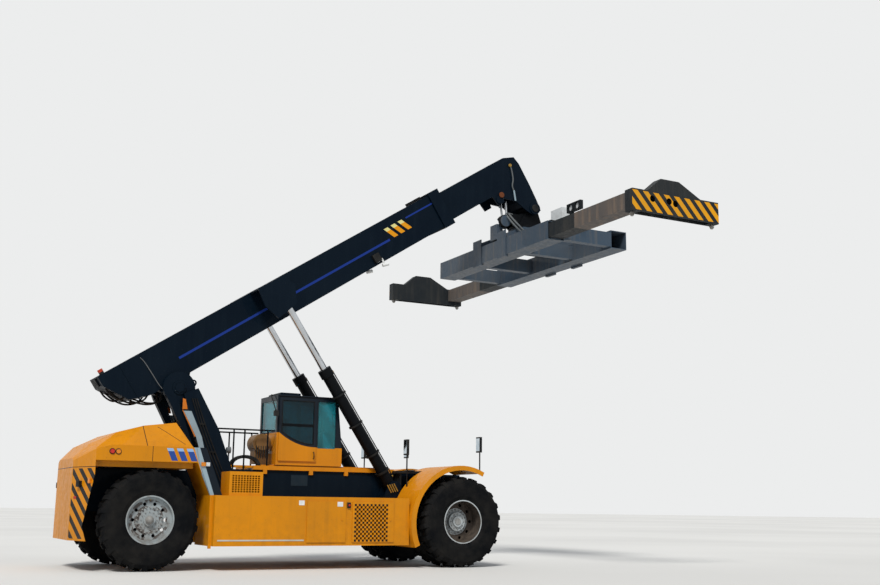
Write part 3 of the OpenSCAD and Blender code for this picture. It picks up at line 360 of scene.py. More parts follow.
STUD = painted("stud_steel", "9a9c9b", ("5f564c", 0.8, "4a3a2e", 0.5), 0.4)


# Patterns in the paint. x and z count from the front axle and the floor, s and t along and
# square to the boom from its pivot
SEAM = "1a1712"
FENDER_SEAM_X = (-7.096, -7.084)
TAIL_SEAM_Z = (2.052, 2.066)
# The hood's upright seam and its lower end, and the slanted seam between two places in x
HOOD_SEAM_X, HOOD_SEAM_LOW = (-7.165, -7.149), 2.5
HOOD_SLANT, HOOD_SLANT_LEAN, HOOD_SLANT_X = (-2.143, -2.129), 0.74, (-6.86, -6.36)

# The cab's belt line: where it starts and ends ahead of the cab's rear wall, its height over
# the cab's floor there, and how hard it curves
BELT_X = (0.05, 0.94)
BELT_REAR, BELT_FRONT = 0.73, 0.42
BELT_CURVE = 2.2

# Stripes on the boom's sides: first and last place along the boom, lower and upper edge
BOOM_STRIPES = [(0.36, 6.45, 0.535, 0.590), (7.14, 8.18, 0.825, 0.865)]
# Groups of slanted bars: the first bar's top corner, how many, and the height of the pale top
BOOM_BARS = {"from": 6.43, "pitch": 0.225, "count": 3, "width": 0.13, "lean": 0.55,
             "low": 0.56, "high": 0.86, "top": 0.09}
FENDER_BARS = {"from": -6.81, "pitch": 0.205, "count": 3, "width": 0.13, "lean": 0.45,
               "low": 2.215, "high": 2.47, "top": 0.06}
# Bars all over the tail's corners and the beams' end faces
TAIL_BARS = {"lean": 0.95, "pitch": 0.31, "share": 0.47, "low": 0.64, "high": 2.03}
TAIL_BARS_Y = (0.92, 1.9)
BEAM_BARS = {"lean": 0.9, "pitch": 0.29, "share": 0.52, "low": 7.73, "high": 8.17}
# The beams are worn bare outside this distance from the middle, apart from the end beams
BEAM_WORN_Y, END_BEAM_WIDTH = 3.86, 0.27

# How far the rear fender's side face and the face of its leg stand inside its lip
FENDER_FACE, LEG_FACE = (0.05, 0.035), 0.09
# On the leg: height of its foot, lean of the pale strip, and the strip's two edges there
LEG_LOW, LEG_LEAN, LEG_STRIP = 1.535, 0.36, (-5.895, -5.785)
# Mirror posts: x, y, the fender's height there and the height of the mirror's arm
MIRROR_POSTS = [(-1.05, 1.22, 1.80, 2.53), (0.50, 1.93, 2.18, 2.61)]
POST_HALF = 0.025
# Dark dots painted as holes on the mesh door, painted shade of the holes' insides: first corner, pitch, size, and
# how many each way
MESH = {"x": -2.6775, "z": 0.5825, "pitch": 0.095, "hole": 0.050, "count": 9}

# Rings on the rims, as radii
# The front rim is painted dark between these radii: painted shade in the deep dish, with rust
FRONT_DISH = (0.302, 0.466)
REAR_DIRT = [(0.20, 0.30), (0.345, 0.41)]

# The two tail lamps' places, counted from the rear axle, red first
TAIL_LAMPS_X = (-0.85, -0.73)
# On the spreader: outside this place is the lamps' frame, and below this height the tray
LAMP_FRAME_Y, TRAY_HEIGHT = -2.45, 0.031


def worn_yellow(g):
    return weathered(g, YELLOW, *YELLOW_WEAR)


def worn_navy(g):
    return weathered(g, NAVY, *NAVY_WEAR)


def yellow_finish(g, out):
    """The surface of the yellow paint under any colours."""
    g.colour(out)
    return g.surface(0.35, 0.65, 0.1)


def on_yellow(name, pattern, colour):
    """Yellow paint with a pattern in one colour. pattern is the function that gives its mask."""
    g = Graph(name, 0.42, coat=0.15, colour=YELLOW)
    return yellow_finish(g, g.mix(pattern(g), worn_yellow(g), colour))


def bar_group(g, run, height, k):
    """1 on a few slanted bars. run and height are the point's places along and across them."""
    leaned = g.sum_of((run, 1), (height, k["lean"]))
    shifted = g.minus(leaned, k["from"] + k["lean"] * k["high"])
    inside = g.within(shifted, 0, k["pitch"] * k["count"])
    bars = g.bars(shifted, k["pitch"], k["width"] / k["pitch"])
    return g.all_of(inside, bars, g.within(height, k["low"], k["high"]))


def bar_field(g, run, across, k):
    """1 on slanted bars that go on all along a face."""
    return g.bars(g.sum_of((run, 1), (across, k["lean"])), k["pitch"], k["share"])


def off_axle(g, axle_x):
    """The point's distance from a wheel's axis."""
    x = g.minus(g.axis(0), FRONT_X + axle_x)
    z = g.minus(g.axis(2), TYRE_R)
    return g.math("SQRT", g.sum_of((g.times(x, x), 1), (g.times(z, z), 1)))


def cab_paint():
    """Yellow below the belt line and navy above it. The belt falls in a curve from the rear."""
    g = Graph("cab_paint", 0.38, coat=0.2, colour=YELLOW)
    run = g.steps(g.axis(0), cab_lo[0] + BELT_X[0], cab_lo[0] + BELT_X[1])
    rise = g.math("POWER", g.minus(1, run), BELT_CURVE)
    belt = g.math("ADD", g.times(rise, BELT_REAR - BELT_FRONT), cab_lo[2] + BELT_FRONT)
    above = g.over(g.axis(2), belt)
    g.colour(g.mix(above, worn_yellow(g), worn_navy(g)))
    return g.surface(0.3, 0.6)


def boom_paint():
    """Navy, with the blue stripes and the three slanted bars on both sides."""
    g = Graph("boom_paint", 0.4, coat=0.03, colour=NAVY, gloss=NAVY_GLOSS)
    x = g.minus(g.axis(0), PIVOT.x)
    z = g.minus(g.axis(2), PIVOT.z)
    s = g.sum_of((x, math.cos(BOOM_ANGLE)), (z, math.sin(BOOM_ANGLE)))
    t = g.sum_of((x, -math.sin(BOOM_ANGLE)), (z, math.cos(BOOM_ANGLE)))
    side = g.within(g.width(), OUTER_HALF - 0.004, OUTER_HALF + 0.004)
    out = worn_navy(g)
    for s0, s1, t0, t1 in BOOM_STRIPES:
        out = g.mix(g.all_of(side, g.within(s, s0, s1), g.within(t, t0, t1)), out, "1d3580")
    bars = g.all_of(side, bar_group(g, s, t, BOOM_BARS))
    pale = g.over(t, BOOM_BARS["high"] - BOOM_BARS["top"])
    g.colour(g.mix(bars, out, g.mix(pale, "d8901c", "d6cf8a")))
    return g.surface(0.3, 0.6)


def hood_seams(g):
    """The seams between the hood's panels."""
    x, z = g.from_front(), g.axis(2)
    upright = g.all_of(g.within(x, *HOOD_SEAM_X), g.over(z, HOOD_SEAM_LOW))
    leaned = g.sum_of((x, HOOD_SLANT_LEAN), (z, 1))
    slanted = g.all_of(g.within(leaned, *HOOD_SLANT), g.within(x, *HOOD_SLANT_X))
    return g.math("MAXIMUM", upright, slanted)


def fender_paint():
    """Yellow, with three blue bars, the seam of the band, and a navy leg with a pale strip."""
    g = Graph("fender_paint", 0.42, coat=0.15, colour=YELLOW)
    x, z = g.from_front(), g.axis(2)
    face = g.within(g.width(), FENDER_Y - FENDER_FACE[0], FENDER_Y - FENDER_FACE[1])
    bars = g.all_of(face, bar_group(g, x, z, FENDER_BARS))
    pale = g.over(z, FENDER_BARS["high"] - FENDER_BARS["top"])
    out = g.mix(bars, worn_yellow(g), g.mix(pale, "27478f", "8fb0d8"))
    out = g.mix(g.all_of(face, g.within(x, *FENDER_SEAM_X)), out, SEAM)
    leg = g.all_of(g.over(g.width(), FENDER_Y - LEG_FACE), g.over(z, LEG_LOW))
    leaned = g.sum_of((x, 1), (g.minus(z, LEG_LOW), LEG_LEAN))
    ahead = g.all_of(leg, g.over(leaned, LEG_STRIP[0]))
    strip = g.under(leaned, LEG_STRIP[1])
    return yellow_finish(g, g.mix(ahead, out, g.mix(strip, worn_navy(g), PALE)))


def mirror_posts(g):
    """The mirrors' posts on the front fenders."""
    x, wide, z = g.from_front(), g.width(), g.axis(2)
    posts = [g.all_of(g.within(x, post_x - POST_HALF, post_x + POST_HALF),
                      g.within(wide, post_y - POST_HALF, post_y + POST_HALF),
                      g.over(z, low)) for post_x, post_y, low, _ in MIRROR_POSTS]
    return g.math("MAXIMUM", *posts)


def mesh_hole_shade(g):
    """Dark dots painted as holes of the mesh door, between the rows of real ones: painted shade of the holes'
    insides.
    """
    x = g.minus(g.from_front(), MESH["x"])
    z = g.minus(g.axis(2), MESH["z"])
    reach = MESH["pitch"] * MESH["count"]
    share = MESH["hole"] / MESH["pitch"]
    return g.all_of(g.bars(x, MESH["pitch"], share), g.bars(z, MESH["pitch"], share),
                    g.within(x, 0, reach), g.within(z, 0, reach))


def rear_rim_paint():
    """Grey metal, with brown dirt round the bolts and in the outer groove."""
    g = Graph("rear_rim_paint", 0.5, coat=0.05, colour="a9afb1")
    radius = off_axle(g, REAR_X)
    rings = g.math("MAXIMUM", *[g.within(radius, *ring) for ring in REAR_DIRT])
    dirt = g.times(rings, g.steps(g.noise(9, 6), 0.46, 0.56))
    metal = weathered(g, "9da7ab", *REAR_RIM_WEAR)
    g.colour(g.mix(g.times(dirt, 0.8), metal, "3b2a20"))
    return g.surface(0.4, 0.7, 0.1)


def front_rim_paint():
    """Pale lip and hub, and a darker dish between them. The dish's dark is painted shade inside the deep dish,
    together with rust.
    """
    g = Graph("front_rim_paint", 0.5, coat=0.05, colour="a9afb1")
    dish = g.within(off_axle(g, 0), *FRONT_DISH)
    pale, dark = (weathered(g, colour, *FRONT_RIM_WEAR) for colour in ("b9c2c6", "37322f"))
    g.colour(g.mix(dish, pale, dark))
    return g.surface(0.4, 0.7, 0.1)


def tail_paint():
    """Yellow, with black slanted bars on the cut-back corners."""
    g = Graph("tail_paint", 0.45, coat=0.1, colour=YELLOW)
    wide, z = g.width(), g.axis(2)
    bars = g.all_of(bar_field(g, z, wide, TAIL_BARS), g.within(wide, *TAIL_BARS_Y),
                    g.within(z, TAIL_BARS["low"], TAIL_BARS["high"]))
    black = weathered(g, "0f1113", "4a433a", 0.3)
    out = g.mix(bars, worn_yellow(g), black)
    return yellow_finish(g, g.mix(g.within(z, *TAIL_SEAM_Z), out, SEAM))


def beam_paint():
    """Worn brown grey, dark near the main frame, with black and yellow bars on the end face."""
    g = Graph("beam_paint", 0.6, colour="5a5651")
    wide, z = g.width(), g.axis(2)
    worn = weathered(g, "565250", "8a7663", 0.7, "5b3421", 0.8)
    dark = weathered(g, "1c2227", "4d4a44", 0.4)
    yellow = weathered(g, "dc9a18", "8a6a3a", 0.3)
    out = g.mix(g.under(wide, BEAM_WORN_Y), worn, dark)
    out = g.mix(g.over(wide, BEAM_END_Y - END_BEAM_WIDTH), out, dark)
    face = g.over(wide, BEAM_END_Y - 0.005)
    bars = g.all_of(bar_field(g, g.axis(0), z, BEAM_BARS), face,
                    g.within(z, BEAM_BARS["low"], BEAM_BARS["high"]))
    g.colour(g.mix(bars, out, yellow))
    return g.surface(0.45, 0.75, 0.12, 0.002)


def gear_paint():
    """The white control box, and the dark frame of the work lamps at the spreader's end."""
    g = Graph("gear_paint", 0.5, colour="dfe2e2")
    patch = g.times(g.steps(g.noise(6, 5), 0.4, 0.75), 0.3)
    white = g.mix(patch, "d4d9dc", "7d7468")
    outside = g.under(g.axis(1), LAMP_FRAME_Y)
    tray = g.under(g.axis(2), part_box("spreader_gear")[0][2] + TRAY_HEIGHT)
    dark = weathered(g, "14191d", "3a3a37", 0.4)
    g.colour(g.mix(g.math("MAXIMUM", outside, tray), white, dark))
    return g.material


def lamp_paint():
    """The tail lamps: red, then amber ahead of it."""
    g = Graph("lamp_paint", 0.18, coat=0.6, colour=RED)
    ahead = g.over(g.from_front(), REAR_X + sum(TAIL_LAMPS_X) / 2)
    grain = g.steps(g.noise(60, 3), 0.4, 0.7)
    g.colour(g.mix(ahead, g.mix(grain, RED, RED_DEEP), g.mix(grain, ORANGE, ORANGE_DEEP)))
    return g.material


# Nodes whose paint isn't their slot's own
BEAM_PAINT, BOOM_PAINT, CAB_PAINT = beam_paint(), boom_paint(), cab_paint()
FRONT_RIM, REAR_RIM = front_rim_paint(), rear_rim_paint()
BLUE_GREY = painted("blue_grey", "3a4a5a", ("6d675e", 0.5, "57381f", 0.6), 0.5)
OWN_PAINT = {
    "beam_right": BEAM_PAINT, "beam_left": BEAM_PAINT, "boom_outer": BOOM_PAINT,
    "cab_shell": CAB_PAINT, "cab_door": CAB_PAINT,
    # The door's glass is tinted darker than the cab's other glass: painted shade of the dark cab behind it
    "cab_door_glass": glass("door_glass", "0e3f4c", "082a36", 0.6),
    "cab_unit": painted("bare_casting", "7a5a32", ("5b4632", 0.6, "3a2a1c", 0.6), 0.6),
    "front_rims_right": FRONT_RIM, "front_rims_left": FRONT_RIM,
    "rear_rim_right": REAR_RIM, "rear_rim_left": REAR_RIM,
    "counterweight": tail_paint(), "body_lamps": lamp_paint(), "rear_fenders": fender_paint(),
    "engine_hood": on_yellow("hood_paint", hood_seams, SEAM),
    "front_fenders": on_yellow("front_fender_paint", mirror_posts, "0c0e10"),
    # The mesh door's dark dots are painted shade of holes' insides
    "mesh_door": on_yellow("mesh_door_paint", mesh_hole_shade, "1d1409"),
    "spreader_gear": gear_paint(),
    "slew_carriage": BLUE_GREY, "hose_drum": BLUE_GREY, "spreader_frame": BLUE_GREY,
}


def dress():
    """Gives each CAD node its own paint or its slot's."""
    slots = {s["node"]: s["material_slot"] for s in frame["record"]["subparts"]}
    for name in nodes:
        mesh = nodes[name].data
        mesh.materials.clear()
        mesh.materials.append(OWN_PAINT.get(name) or MATERIALS[slots[name]])


dress()


# Edges sharper than this, in degrees, stay sharp in the shading, and are rounded by a bevel
SMOOTH_ANGLE, BEVEL_ANGLE = 40, 35


class Piece:
    """A mesh that is drawn bit by bit and rides on one body."""

    def __init__(self, name, body, slot, material=None, place=BODY):
        self.name, self.body, self.slot = name, body, slot
        self.material = material or MATERIALS[slot]
        self.place = place
        self.bm = bmesh.new()

    def box(self, lo, hi, matrix=None):
        """A box from its lowest to its highest corner."""
        lo, hi = Vector(lo), Vector(hi)
        made = bmesh.ops.create_cube(self.bm, size=1)["verts"]
        bmesh.ops.scale(self.bm, vec=hi - lo, verts=made)
        bmesh.ops.translate(self.bm, vec=(lo + hi) / 2, verts=made)
        if matrix:
            bmesh.ops.transform(self.bm, matrix=matrix, verts=made)
        return self

    def plate(self, x, z, face, out, sunk=0.01):
        """A plate on a right-hand side face: ranges of x and z, the face's distance from the
        middle plane, how far the plate stands out of it and how far it is sunk in."""
        return self.box((x[0], -face - out, z[0]), (x[1], -face + sunk, z[1]))

    def rod(self, a, b, r, r2=None, sides=24):
        """A round bar or cone from a to b."""
        a, b = Vector(a), Vector(b)
        made = bmesh.ops.create_cone(
            self.bm, cap_ends=True, cap_tris=False, segments=sides, radius1=r,
            radius2=r if r2 is None else r2, depth=(b - a).length)["verts"]
        turn = (b - a).to_track_quat("Z", "Y").to_matrix().to_4x4()
        matrix = Matrix.Translation((a + b) / 2) @ turn
        bmesh.ops.transform(self.bm, matrix=matrix, verts=made)
        return self

    def _skin(self, rings, closed):
        """Faces between rings of points, and from the last ring to the first if closed."""
        for a, b in zip(rings, rings[1:] + rings[:1] if closed else rings[1:]):
            for k in range(len(a)):
                m = (k + 1) % len(a)
                self.bm.faces.new((a[k], a[m], b[m], b[k]))

    def sleeve(self, x0, x1, r_in, r_out, sides=32):
        """An open ring round the x axis."""
        rings = []
        for x, r in ((x0, r_in), (x0, r_out), (x1, r_out), (x1, r_in)):
            rings.append([self.bm.verts.new((x, r * math.cos(a), r * math.sin(a)))
                          for a in ring_angles(sides)])
        self._skin(rings, closed=True)
        return self

    def ball(self, centre, r):
        made = bmesh.ops.create_uvsphere(self.bm, u_segments=20, v_segments=12, radius=r)["verts"]
        bmesh.ops.translate(self.bm, vec=centre, verts=made)
        return self

    def prism(self, points, y0, y1):
        """An outline in x and z, given a thickness across the machine."""
        low, high = ([self.bm.verts.new((x, y, z)) for x, z in points] for y in (y0, y1))
        self.bm.faces.new(low)
        self.bm.faces.new(high[::-1])
        self._skin([low, high], closed=False)
        return self

    def tube(self, points, r, sides=10, steps=6, closed=False):
        """A round tube along a smooth curve through the points."""
        path = smooth(points, steps, closed)
        rings = []
        normal = None
        for i, p in enumerate(path):
            before = path[i - 1] if i or closed else p
            after = path[(i + 1) % len(path)] if i < len(path) - 1 or closed else p
            tangent = (after - before).normalized()
            if normal is None:
                normal = tangent.orthogonal().normalized()
            normal = (normal - tangent * normal.dot(tangent)).normalized()
            side = tangent.cross(normal)
            rings.append([self.bm.verts.new(p + normal * math.cos(a) * r + side * math.sin(a) * r)
                          for a in ring_angles(sides)])
        self._skin(rings, closed)
        if not closed:
            self.bm.faces.new(rings[0][::-1])
            self.bm.faces.new(rings[-1])
        return self

    def mirrored(self):
        """The same again on the machine's other side."""
        whole = self.bm.verts[:] + self.bm.edges[:] + self.bm.faces[:]
        made = bmesh.ops.duplicate(self.bm, geom=whole)["geom"]
        verts = [g for g in made if isinstance(g, bmesh.types.BMVert)]
        faces = [g for g in made if isinstance(g, bmesh.types.BMFace)]
        bmesh.ops.scale(self.bm, vec=(1, -1, 1), verts=verts)
        bmesh.ops.reverse_faces(self.bm, faces=faces)
        return self

    def done(self, bevel=0.0):
        """Makes the object, with rounded edges if bevel is given."""
        bmesh.ops.recalc_face_normals(self.bm, faces=self.bm.faces[:])
        mesh = bpy.data.meshes.new(self.name)
        self.bm.transform(self.place)
        self.bm.to_mesh(mesh)
        self.bm.free()
        mesh.materials.append(self.material)
        mesh.shade_smooth()
        mesh.set_sharp_from_angle(angle=math.radians(SMOOTH_ANGLE))
        piece = placed(self.name, mesh)
        if bevel:
            edge = piece.modifiers.new("edges", "BEVEL")
            edge.width = bevel
            edge.segments = 2
            edge.limit_method = "ANGLE"
            edge.angle_limit = math.radians(BEVEL_ANGLE)
        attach(piece, self.body)
        return piece


def smooth(points, steps, closed=False):
    """Points along a Catmull-Rom curve."""
    pts = [Vector(p) for p in points]
    if len(pts) < 3 and not closed:
        return pts
    out = []
    spans = len(pts) if closed else len(pts) - 1
    for i in range(spans):
        p1, p2 = pts[i], pts[(i + 1) % len(pts)]
        p0 = pts[i - 1] if i or closed else p1 * 2 - p2
        p3 = pts[(i + 2) % len(pts)] if i + 2 < len(pts) or closed else p2 * 2 - p1
        for k in range(steps):
            t = k / steps
            out.append(0.5 * ((2 * p1) + (p2 - p0) * t + (2 * p0 - 5 * p1 + 4 * p2 - p3) * t * t
                              + (3 * p1 - p0 - 3 * p2 + p3) * t ** 3))
    if not closed:
        out.append(pts[-1])
    return out


def ring_angles(count):
    return [2 * math.pi * k / count for k in range(count)]


def circle(x, y, z, r, count):
    """Points of a ring round a cross axis."""
    return [(x + r * math.cos(a), y, z + r * math.sin(a)) for a in ring_angles(count)]


def ring_of_bolts(piece, centre, ring, count, r, length):
    """Bolt heads in a ring round a cross axis. length is signed: the way the heads stand out."""
    x, y, z = centre
    sunk = math.copysign(0.002, length)
    for bolt_x, _, bolt_z in circle(x, y, z, ring, count):
        piece.rod((bolt_x, y - sunk, bolt_z), (bolt_x, y + length, bolt_z), r, sides=6)


def add_singles(place, rows):
    """Pieces of one shape each. A row is name, body, slot, material (None for the slot's own),
    shape, the shape's measures, whether it stands on both sides, and bevel."""
    for name, body, slot, material, shape, measures, both, bevel in rows:
        piece = shape(Piece(name, body, slot, material, place), *measures)
        if both:
            piece.mirrored()
        piece.done(bevel)


# Dressing. Places count from the front axle unless a piece has a place of its own

# Bolt rings of each wheel: face, ring radius, how many, bolt radius, length
FRONT_BOLTS = [(1.670, 0.262, 20, 0.017, 0.030), (1.760, 0.165, 12, 0.012, 0.020)]
REAR_BOLTS = [(1.590, 0.258, 20, 0.017, 0.034), (1.590, 0.165, 12, 0.012, 0.018)]
# Front hub's cap: inner and outer face, radius. Rear hub's round cap: middle, radius
FRONT_CAP = (1.798, 1.812, 0.075)
REAR_CAP = (1.635, 0.085)
# Both ends of the rear wheel's valve: place across, height over the axle
VALVE = [(1.588, 0.395), (1.66, 0.405)]


def add_wheel_trim():
    for side, sign in (("right", -1), ("left", 1)):
        front = Piece("front_bolts_" + side, "front_wheels_" + side, "lock_steel", STUD)
        inner, outer, r = FRONT_CAP
        rear = Piece("rear_bolts_" + side, "rear_wheel_" + side, "lock_steel", STUD)
        for piece, x, rings in ((front, 0, FRONT_BOLTS), (rear, REAR_X, REAR_BOLTS)):
            for face, ring, count, r_bolt, length in rings:
                ring_of_bolts(piece, (x, sign * face, TYRE_R), ring, count, r_bolt, sign * length)
        front.rod((0, sign * inner, TYRE_R), (0, sign * outer, TYRE_R), r).done(0.002)
        middle, r = REAR_CAP
        rear.ball((REAR_X, sign * middle, TYRE_R), r).done(0.002)
        valve = Piece("valve_" + side, "rear_wheel_" + side, "lock_steel", BRASS)
        foot, tip = [(REAR_X, sign * y, TYRE_R + z) for y, z in VALVE]
        valve.rod(foot, tip, 0.008, sides=12).done()


# The service door and the isolator stand this far out of the side box
DOOR_OUT, ISOLATOR_OUT = 0.02, 0.03
ISOLATOR_X, ISOLATOR_Z = (-2.85, -2.77), (1.30, 1.42)
SIDE_PLATES = [
    ("sill_strips", "chassis", "grey_paint", SILL, Piece.plate,
     ((-5.72, -3.83), (0.60, 0.63), SIDE_Y, 0.006), True, 0.002),
    ("blank_plates", "chassis", "grey_paint", WHITE, Piece.plate,
     ((-3.965, -3.84), (1.35, 1.45), SIDE_Y, 0.004), True, 0.001),
    ("door_plate", "service_door", "grey_paint", WHITE, Piece.plate,
     ((-3.085, -2.955), (1.33, 1.43), SIDE_Y + DOOR_OUT, 0.006, 0), False, 0.001),
    ("isolator", "chassis", "dark_plastic", DARK, Piece.plate,
     (ISOLATOR_X, ISOLATOR_Z, SIDE_Y, ISOLATOR_OUT), False, 0.004),
    ("frame_plates", "chassis", "dark_plastic", SLATE, Piece.plate,
     ((-3.67, -3.27), (1.78, 2.02), FRAME_Y, 0.006), True, 0.002),
    ("corner_lamps", "chassis", "dark_plastic", CLEAR, Piece.plate,
     ((-5.985, -5.905), (2.12, 2.20), FENDER_Y, 0.025), True, 0.006),
]
# Tail lamps' bezels: place across, height, radius
BEZEL = (-1.754, 2.37, 0.052)
# Lamp on the deck: x, y, ends of its mast and height of the lamp
DECK_LAMP_X, DECK_LAMP_Y, DECK_MAST_Z, DECK_LAMP_Z = -5.16, -0.62, (2.235, 2.47), 2.53
# The mirrors' glass: place behind the post, half its width, ends above the arm
MIRROR_BACK, MIRROR_HALF, MIRROR_Z = 0.05, 0.08, (0.03, 0.33)
# Fittings at the lift cylinders' feet, x and z: the first one, the step to the next, each one's run
FOOT_LINE, FOOT_STEP, FOOT_RUN, FOOT_COUNT = (-1.47, 1.83), (0.055, 0.012), (0.10, -0.17), 4
# Foot plates in front of the cab: corners, ribs, and x and foot of each leg
FOOT_PLATE_LO, FOOT_PLATE_HI = (-1.17, -1.00, 2.11), (-0.49, -0.66, 2.15)
RIB_COUNT, RIB_PITCH, RIB_WIDTH, RIB_EDGE = 17, 0.04, 0.02, 0.005
FOOT_LEGS, LEG_SIZE = [(-1.10, 1.75), (-0.60, 2.00)], 0.04


def add_side_plates():
    add_singles(BODY, SIDE_PLATES)
    knob = Piece("isolator_knob", "chassis", "lamp_red", FLAT_RED)
    x, z = sum(ISOLATOR_X) / 2, sum(ISOLATOR_Z) / 2
    y = -SIDE_Y - ISOLATOR_OUT
    knob.rod((x, y, z), (x, y - 0.025, z), 0.022)
    knob.box((x - 0.007, y - 0.04, z - 0.025), (x + 0.007, y - 0.02, z + 0.025)).done(0.002)


def add_body_lamps():
    bezels = Piece("tail_lamp_bezels", "chassis", "dark_plastic")
    y, z, r = BEZEL
    for x in TAIL_LAMPS_X:
        ring = circle(REAR_X + x, y, z, r, 16)
        bezels.tube(ring, 0.009, sides=8, steps=2, closed=True)
    bezels.mirrored().done()
    mast = Piece("deck_lamp", "chassis", "dark_plastic", HOSE_GREY)
    x, y, z = DECK_LAMP_X, DECK_LAMP_Y, DECK_LAMP_Z
    mast.rod((x, y, DECK_MAST_Z[0]), (x, y, DECK_MAST_Z[1]), 0.010, sides=12)
    mast.rod((x - 0.05, y, z), (x + 0.04, y, z), 0.062, 0.075).done(0.003)


def add_front_trim():
    mirrors = Piece("mirror_glass", "chassis", "chrome_rod", MIRROR)
    low, high = MIRROR_Z
    for post_x, post_y, _, arm in MIRROR_POSTS:
        x = post_x - MIRROR_BACK
        mirrors.box((x - 0.006, -post_y - MIRROR_HALF, arm + low),
                    (x + 0.004, -post_y + MIRROR_HALF, arm + high))
    mirrors.mirrored().done(0.002)
    foot = Piece("foot_fittings", "chassis", "lock_steel", BRASS)
    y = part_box("lift_feet")[0][1] - 0.012
    for k in range(FOOT_COUNT):
        x, z = (first + k * step for first, step in zip(FOOT_LINE, FOOT_STEP))
        foot.rod((x, y, z), (x + FOOT_RUN[0], y, z + FOOT_RUN[1]), 0.014, sides=12)
    foot.mirrored().done()
    step = Piece("foot_plates", "chassis", "dark_plastic")
    step.box(FOOT_PLATE_LO, FOOT_PLATE_HI)
    (x0, y0, z0), (_, y1, z1) = FOOT_PLATE_LO, FOOT_PLATE_HI
    for k in range(RIB_COUNT):
        x = x0 + RIB_EDGE + k * RIB_PITCH
        step.box((x, y0 + RIB_EDGE, z1 - 0.002), (x + RIB_WIDTH, y1 - RIB_EDGE, z1 + 0.022))
    for x, z in FOOT_LEGS:
        step.box((x, y0 + LEG_SIZE, z), (x + LEG_SIZE, y1, z0 + 0.01))
    step.mirrored().done(0.002)


# Small things on the cut-back tail corners: name, y, z, half width, half height, depth, material
TAIL_ITEMS = [("tail_marker", 1.62, 1.78, 0.035, 0.05, 0.05, AMBER),
              ("tail_work_lamp", 1.24, 1.72, 0.06, 0.06, 0.07, DARK),
              ("tail_reflector", 1.07, 1.45, 0.05, 0.025, 0.01, FLAT_RED)]
# The corners' slope, and where it starts
TAIL_SLOPE = 0.29 / 0.857
TAIL_FLAT_Y = 0.9


def add_tail_lamps():
    turn = Matrix.Rotation(math.atan(TAIL_SLOPE), 4, "Z")
    for name, y, z, half_w, half_h, depth, material in TAIL_ITEMS:
        face = Matrix.Translation((TAIL_X + (y - TAIL_FLAT_Y) * TAIL_SLOPE, -y, z)) @ turn
        piece = Piece(name, "chassis", "dark_plastic", material)
        piece.box((-depth, -half_w, -half_h), (0.01, half_w, half_h), face)
        piece.mirrored().done(0.004)


# Outlines on the tower's outer face, x and z
TOWER_STRIP = [(-6.23, 3.34), (-6.06, 3.34), (-5.80, 2.79),
               (-5.48, 1.60), (-5.54, 1.60), (-5.93, 2.79)]
TOWER_TAG = [(-6.26, 3.61), (-6.20, 3.59), (-6.15, 3.38), (-6.26, 3.37)]
TOWER_EDGE = [(-6.265, 3.36), (-6.235, 3.34), (-5.935, 2.79), (-5.965, 2.79)]
# Hoses down the tower: the rearmost one's points, and each point's step to the next hose
TOWER_HOSE = [(-6.06, 3.62), (-5.86, 3.05), (-5.62, 2.45), (-5.30, 1.75)]
TOWER_HOSE_STEPS = [(0.05, 0), (0.05, 0.02), (0.06, 0.02), (0.06, 0.02)]
TOWER_HOSE_COUNT = 3
# Half the width and height of the bars that hold the hoses
HOSE_BAR = (0.07, 0.015)
# Bolts round the boom's pivot: face, ring radius, how many, bolt radius, length
PIVOT_BOLTS = (0.605, 0.11, 8, 0.014, 0.018)


def add_tower_trim():
    y = -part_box("boom_towers")[1][1]
    strip = Piece("tower_strips", "chassis", "grey_paint", PALE_STRIP)
    strip.prism(TOWER_STRIP, y - 0.004, y + 0.01).mirrored().done(0.001)
    tag = Piece("tower_tags", "chassis", "grey_paint", FLAT_ORANGE)
    for outline in (TOWER_TAG, TOWER_EDGE):
        tag.prism(outline, y - 0.006, y + 0.01)
    tag.mirrored().done(0.001)
    hoses = Piece("tower_hoses", "chassis", "dark_plastic", HOSE)
    paths = [[(x + k * step_x, y - 0.016, z + k * step_z)
              for (x, z), (step_x, step_z) in zip(TOWER_HOSE, TOWER_HOSE_STEPS)]
             for k in range(TOWER_HOSE_COUNT)]
    for path in paths:
        hoses.tube(path, 0.015, sides=8)
    wide, high = HOSE_BAR
    for x, _, z in paths[1][1:3]:
        hoses.box((x - wide, y - 0.034, z - high), (x + wide, y + 0.01, z + high))
    hoses.mirrored().done()
    bolts = Piece("pivot_bolts", "chassis", "navy_paint")
    face, ring, count, r, length = PIVOT_BOLTS
    ring_of_bolts(bolts, (PIVOT.x - FRONT_X, -face, PIVOT.z), ring, count, r, -length)
    bolts.mirrored().done(0.001)


# On the cab, x counts from its rear wall, or from its front for the wiper
CAB_TOP = cab_hi[2]
SEAL_STEPS, SEAL_OVER_BELT = 8, 0.06
DOOR_BAR_Z = (3.12, 3.18)
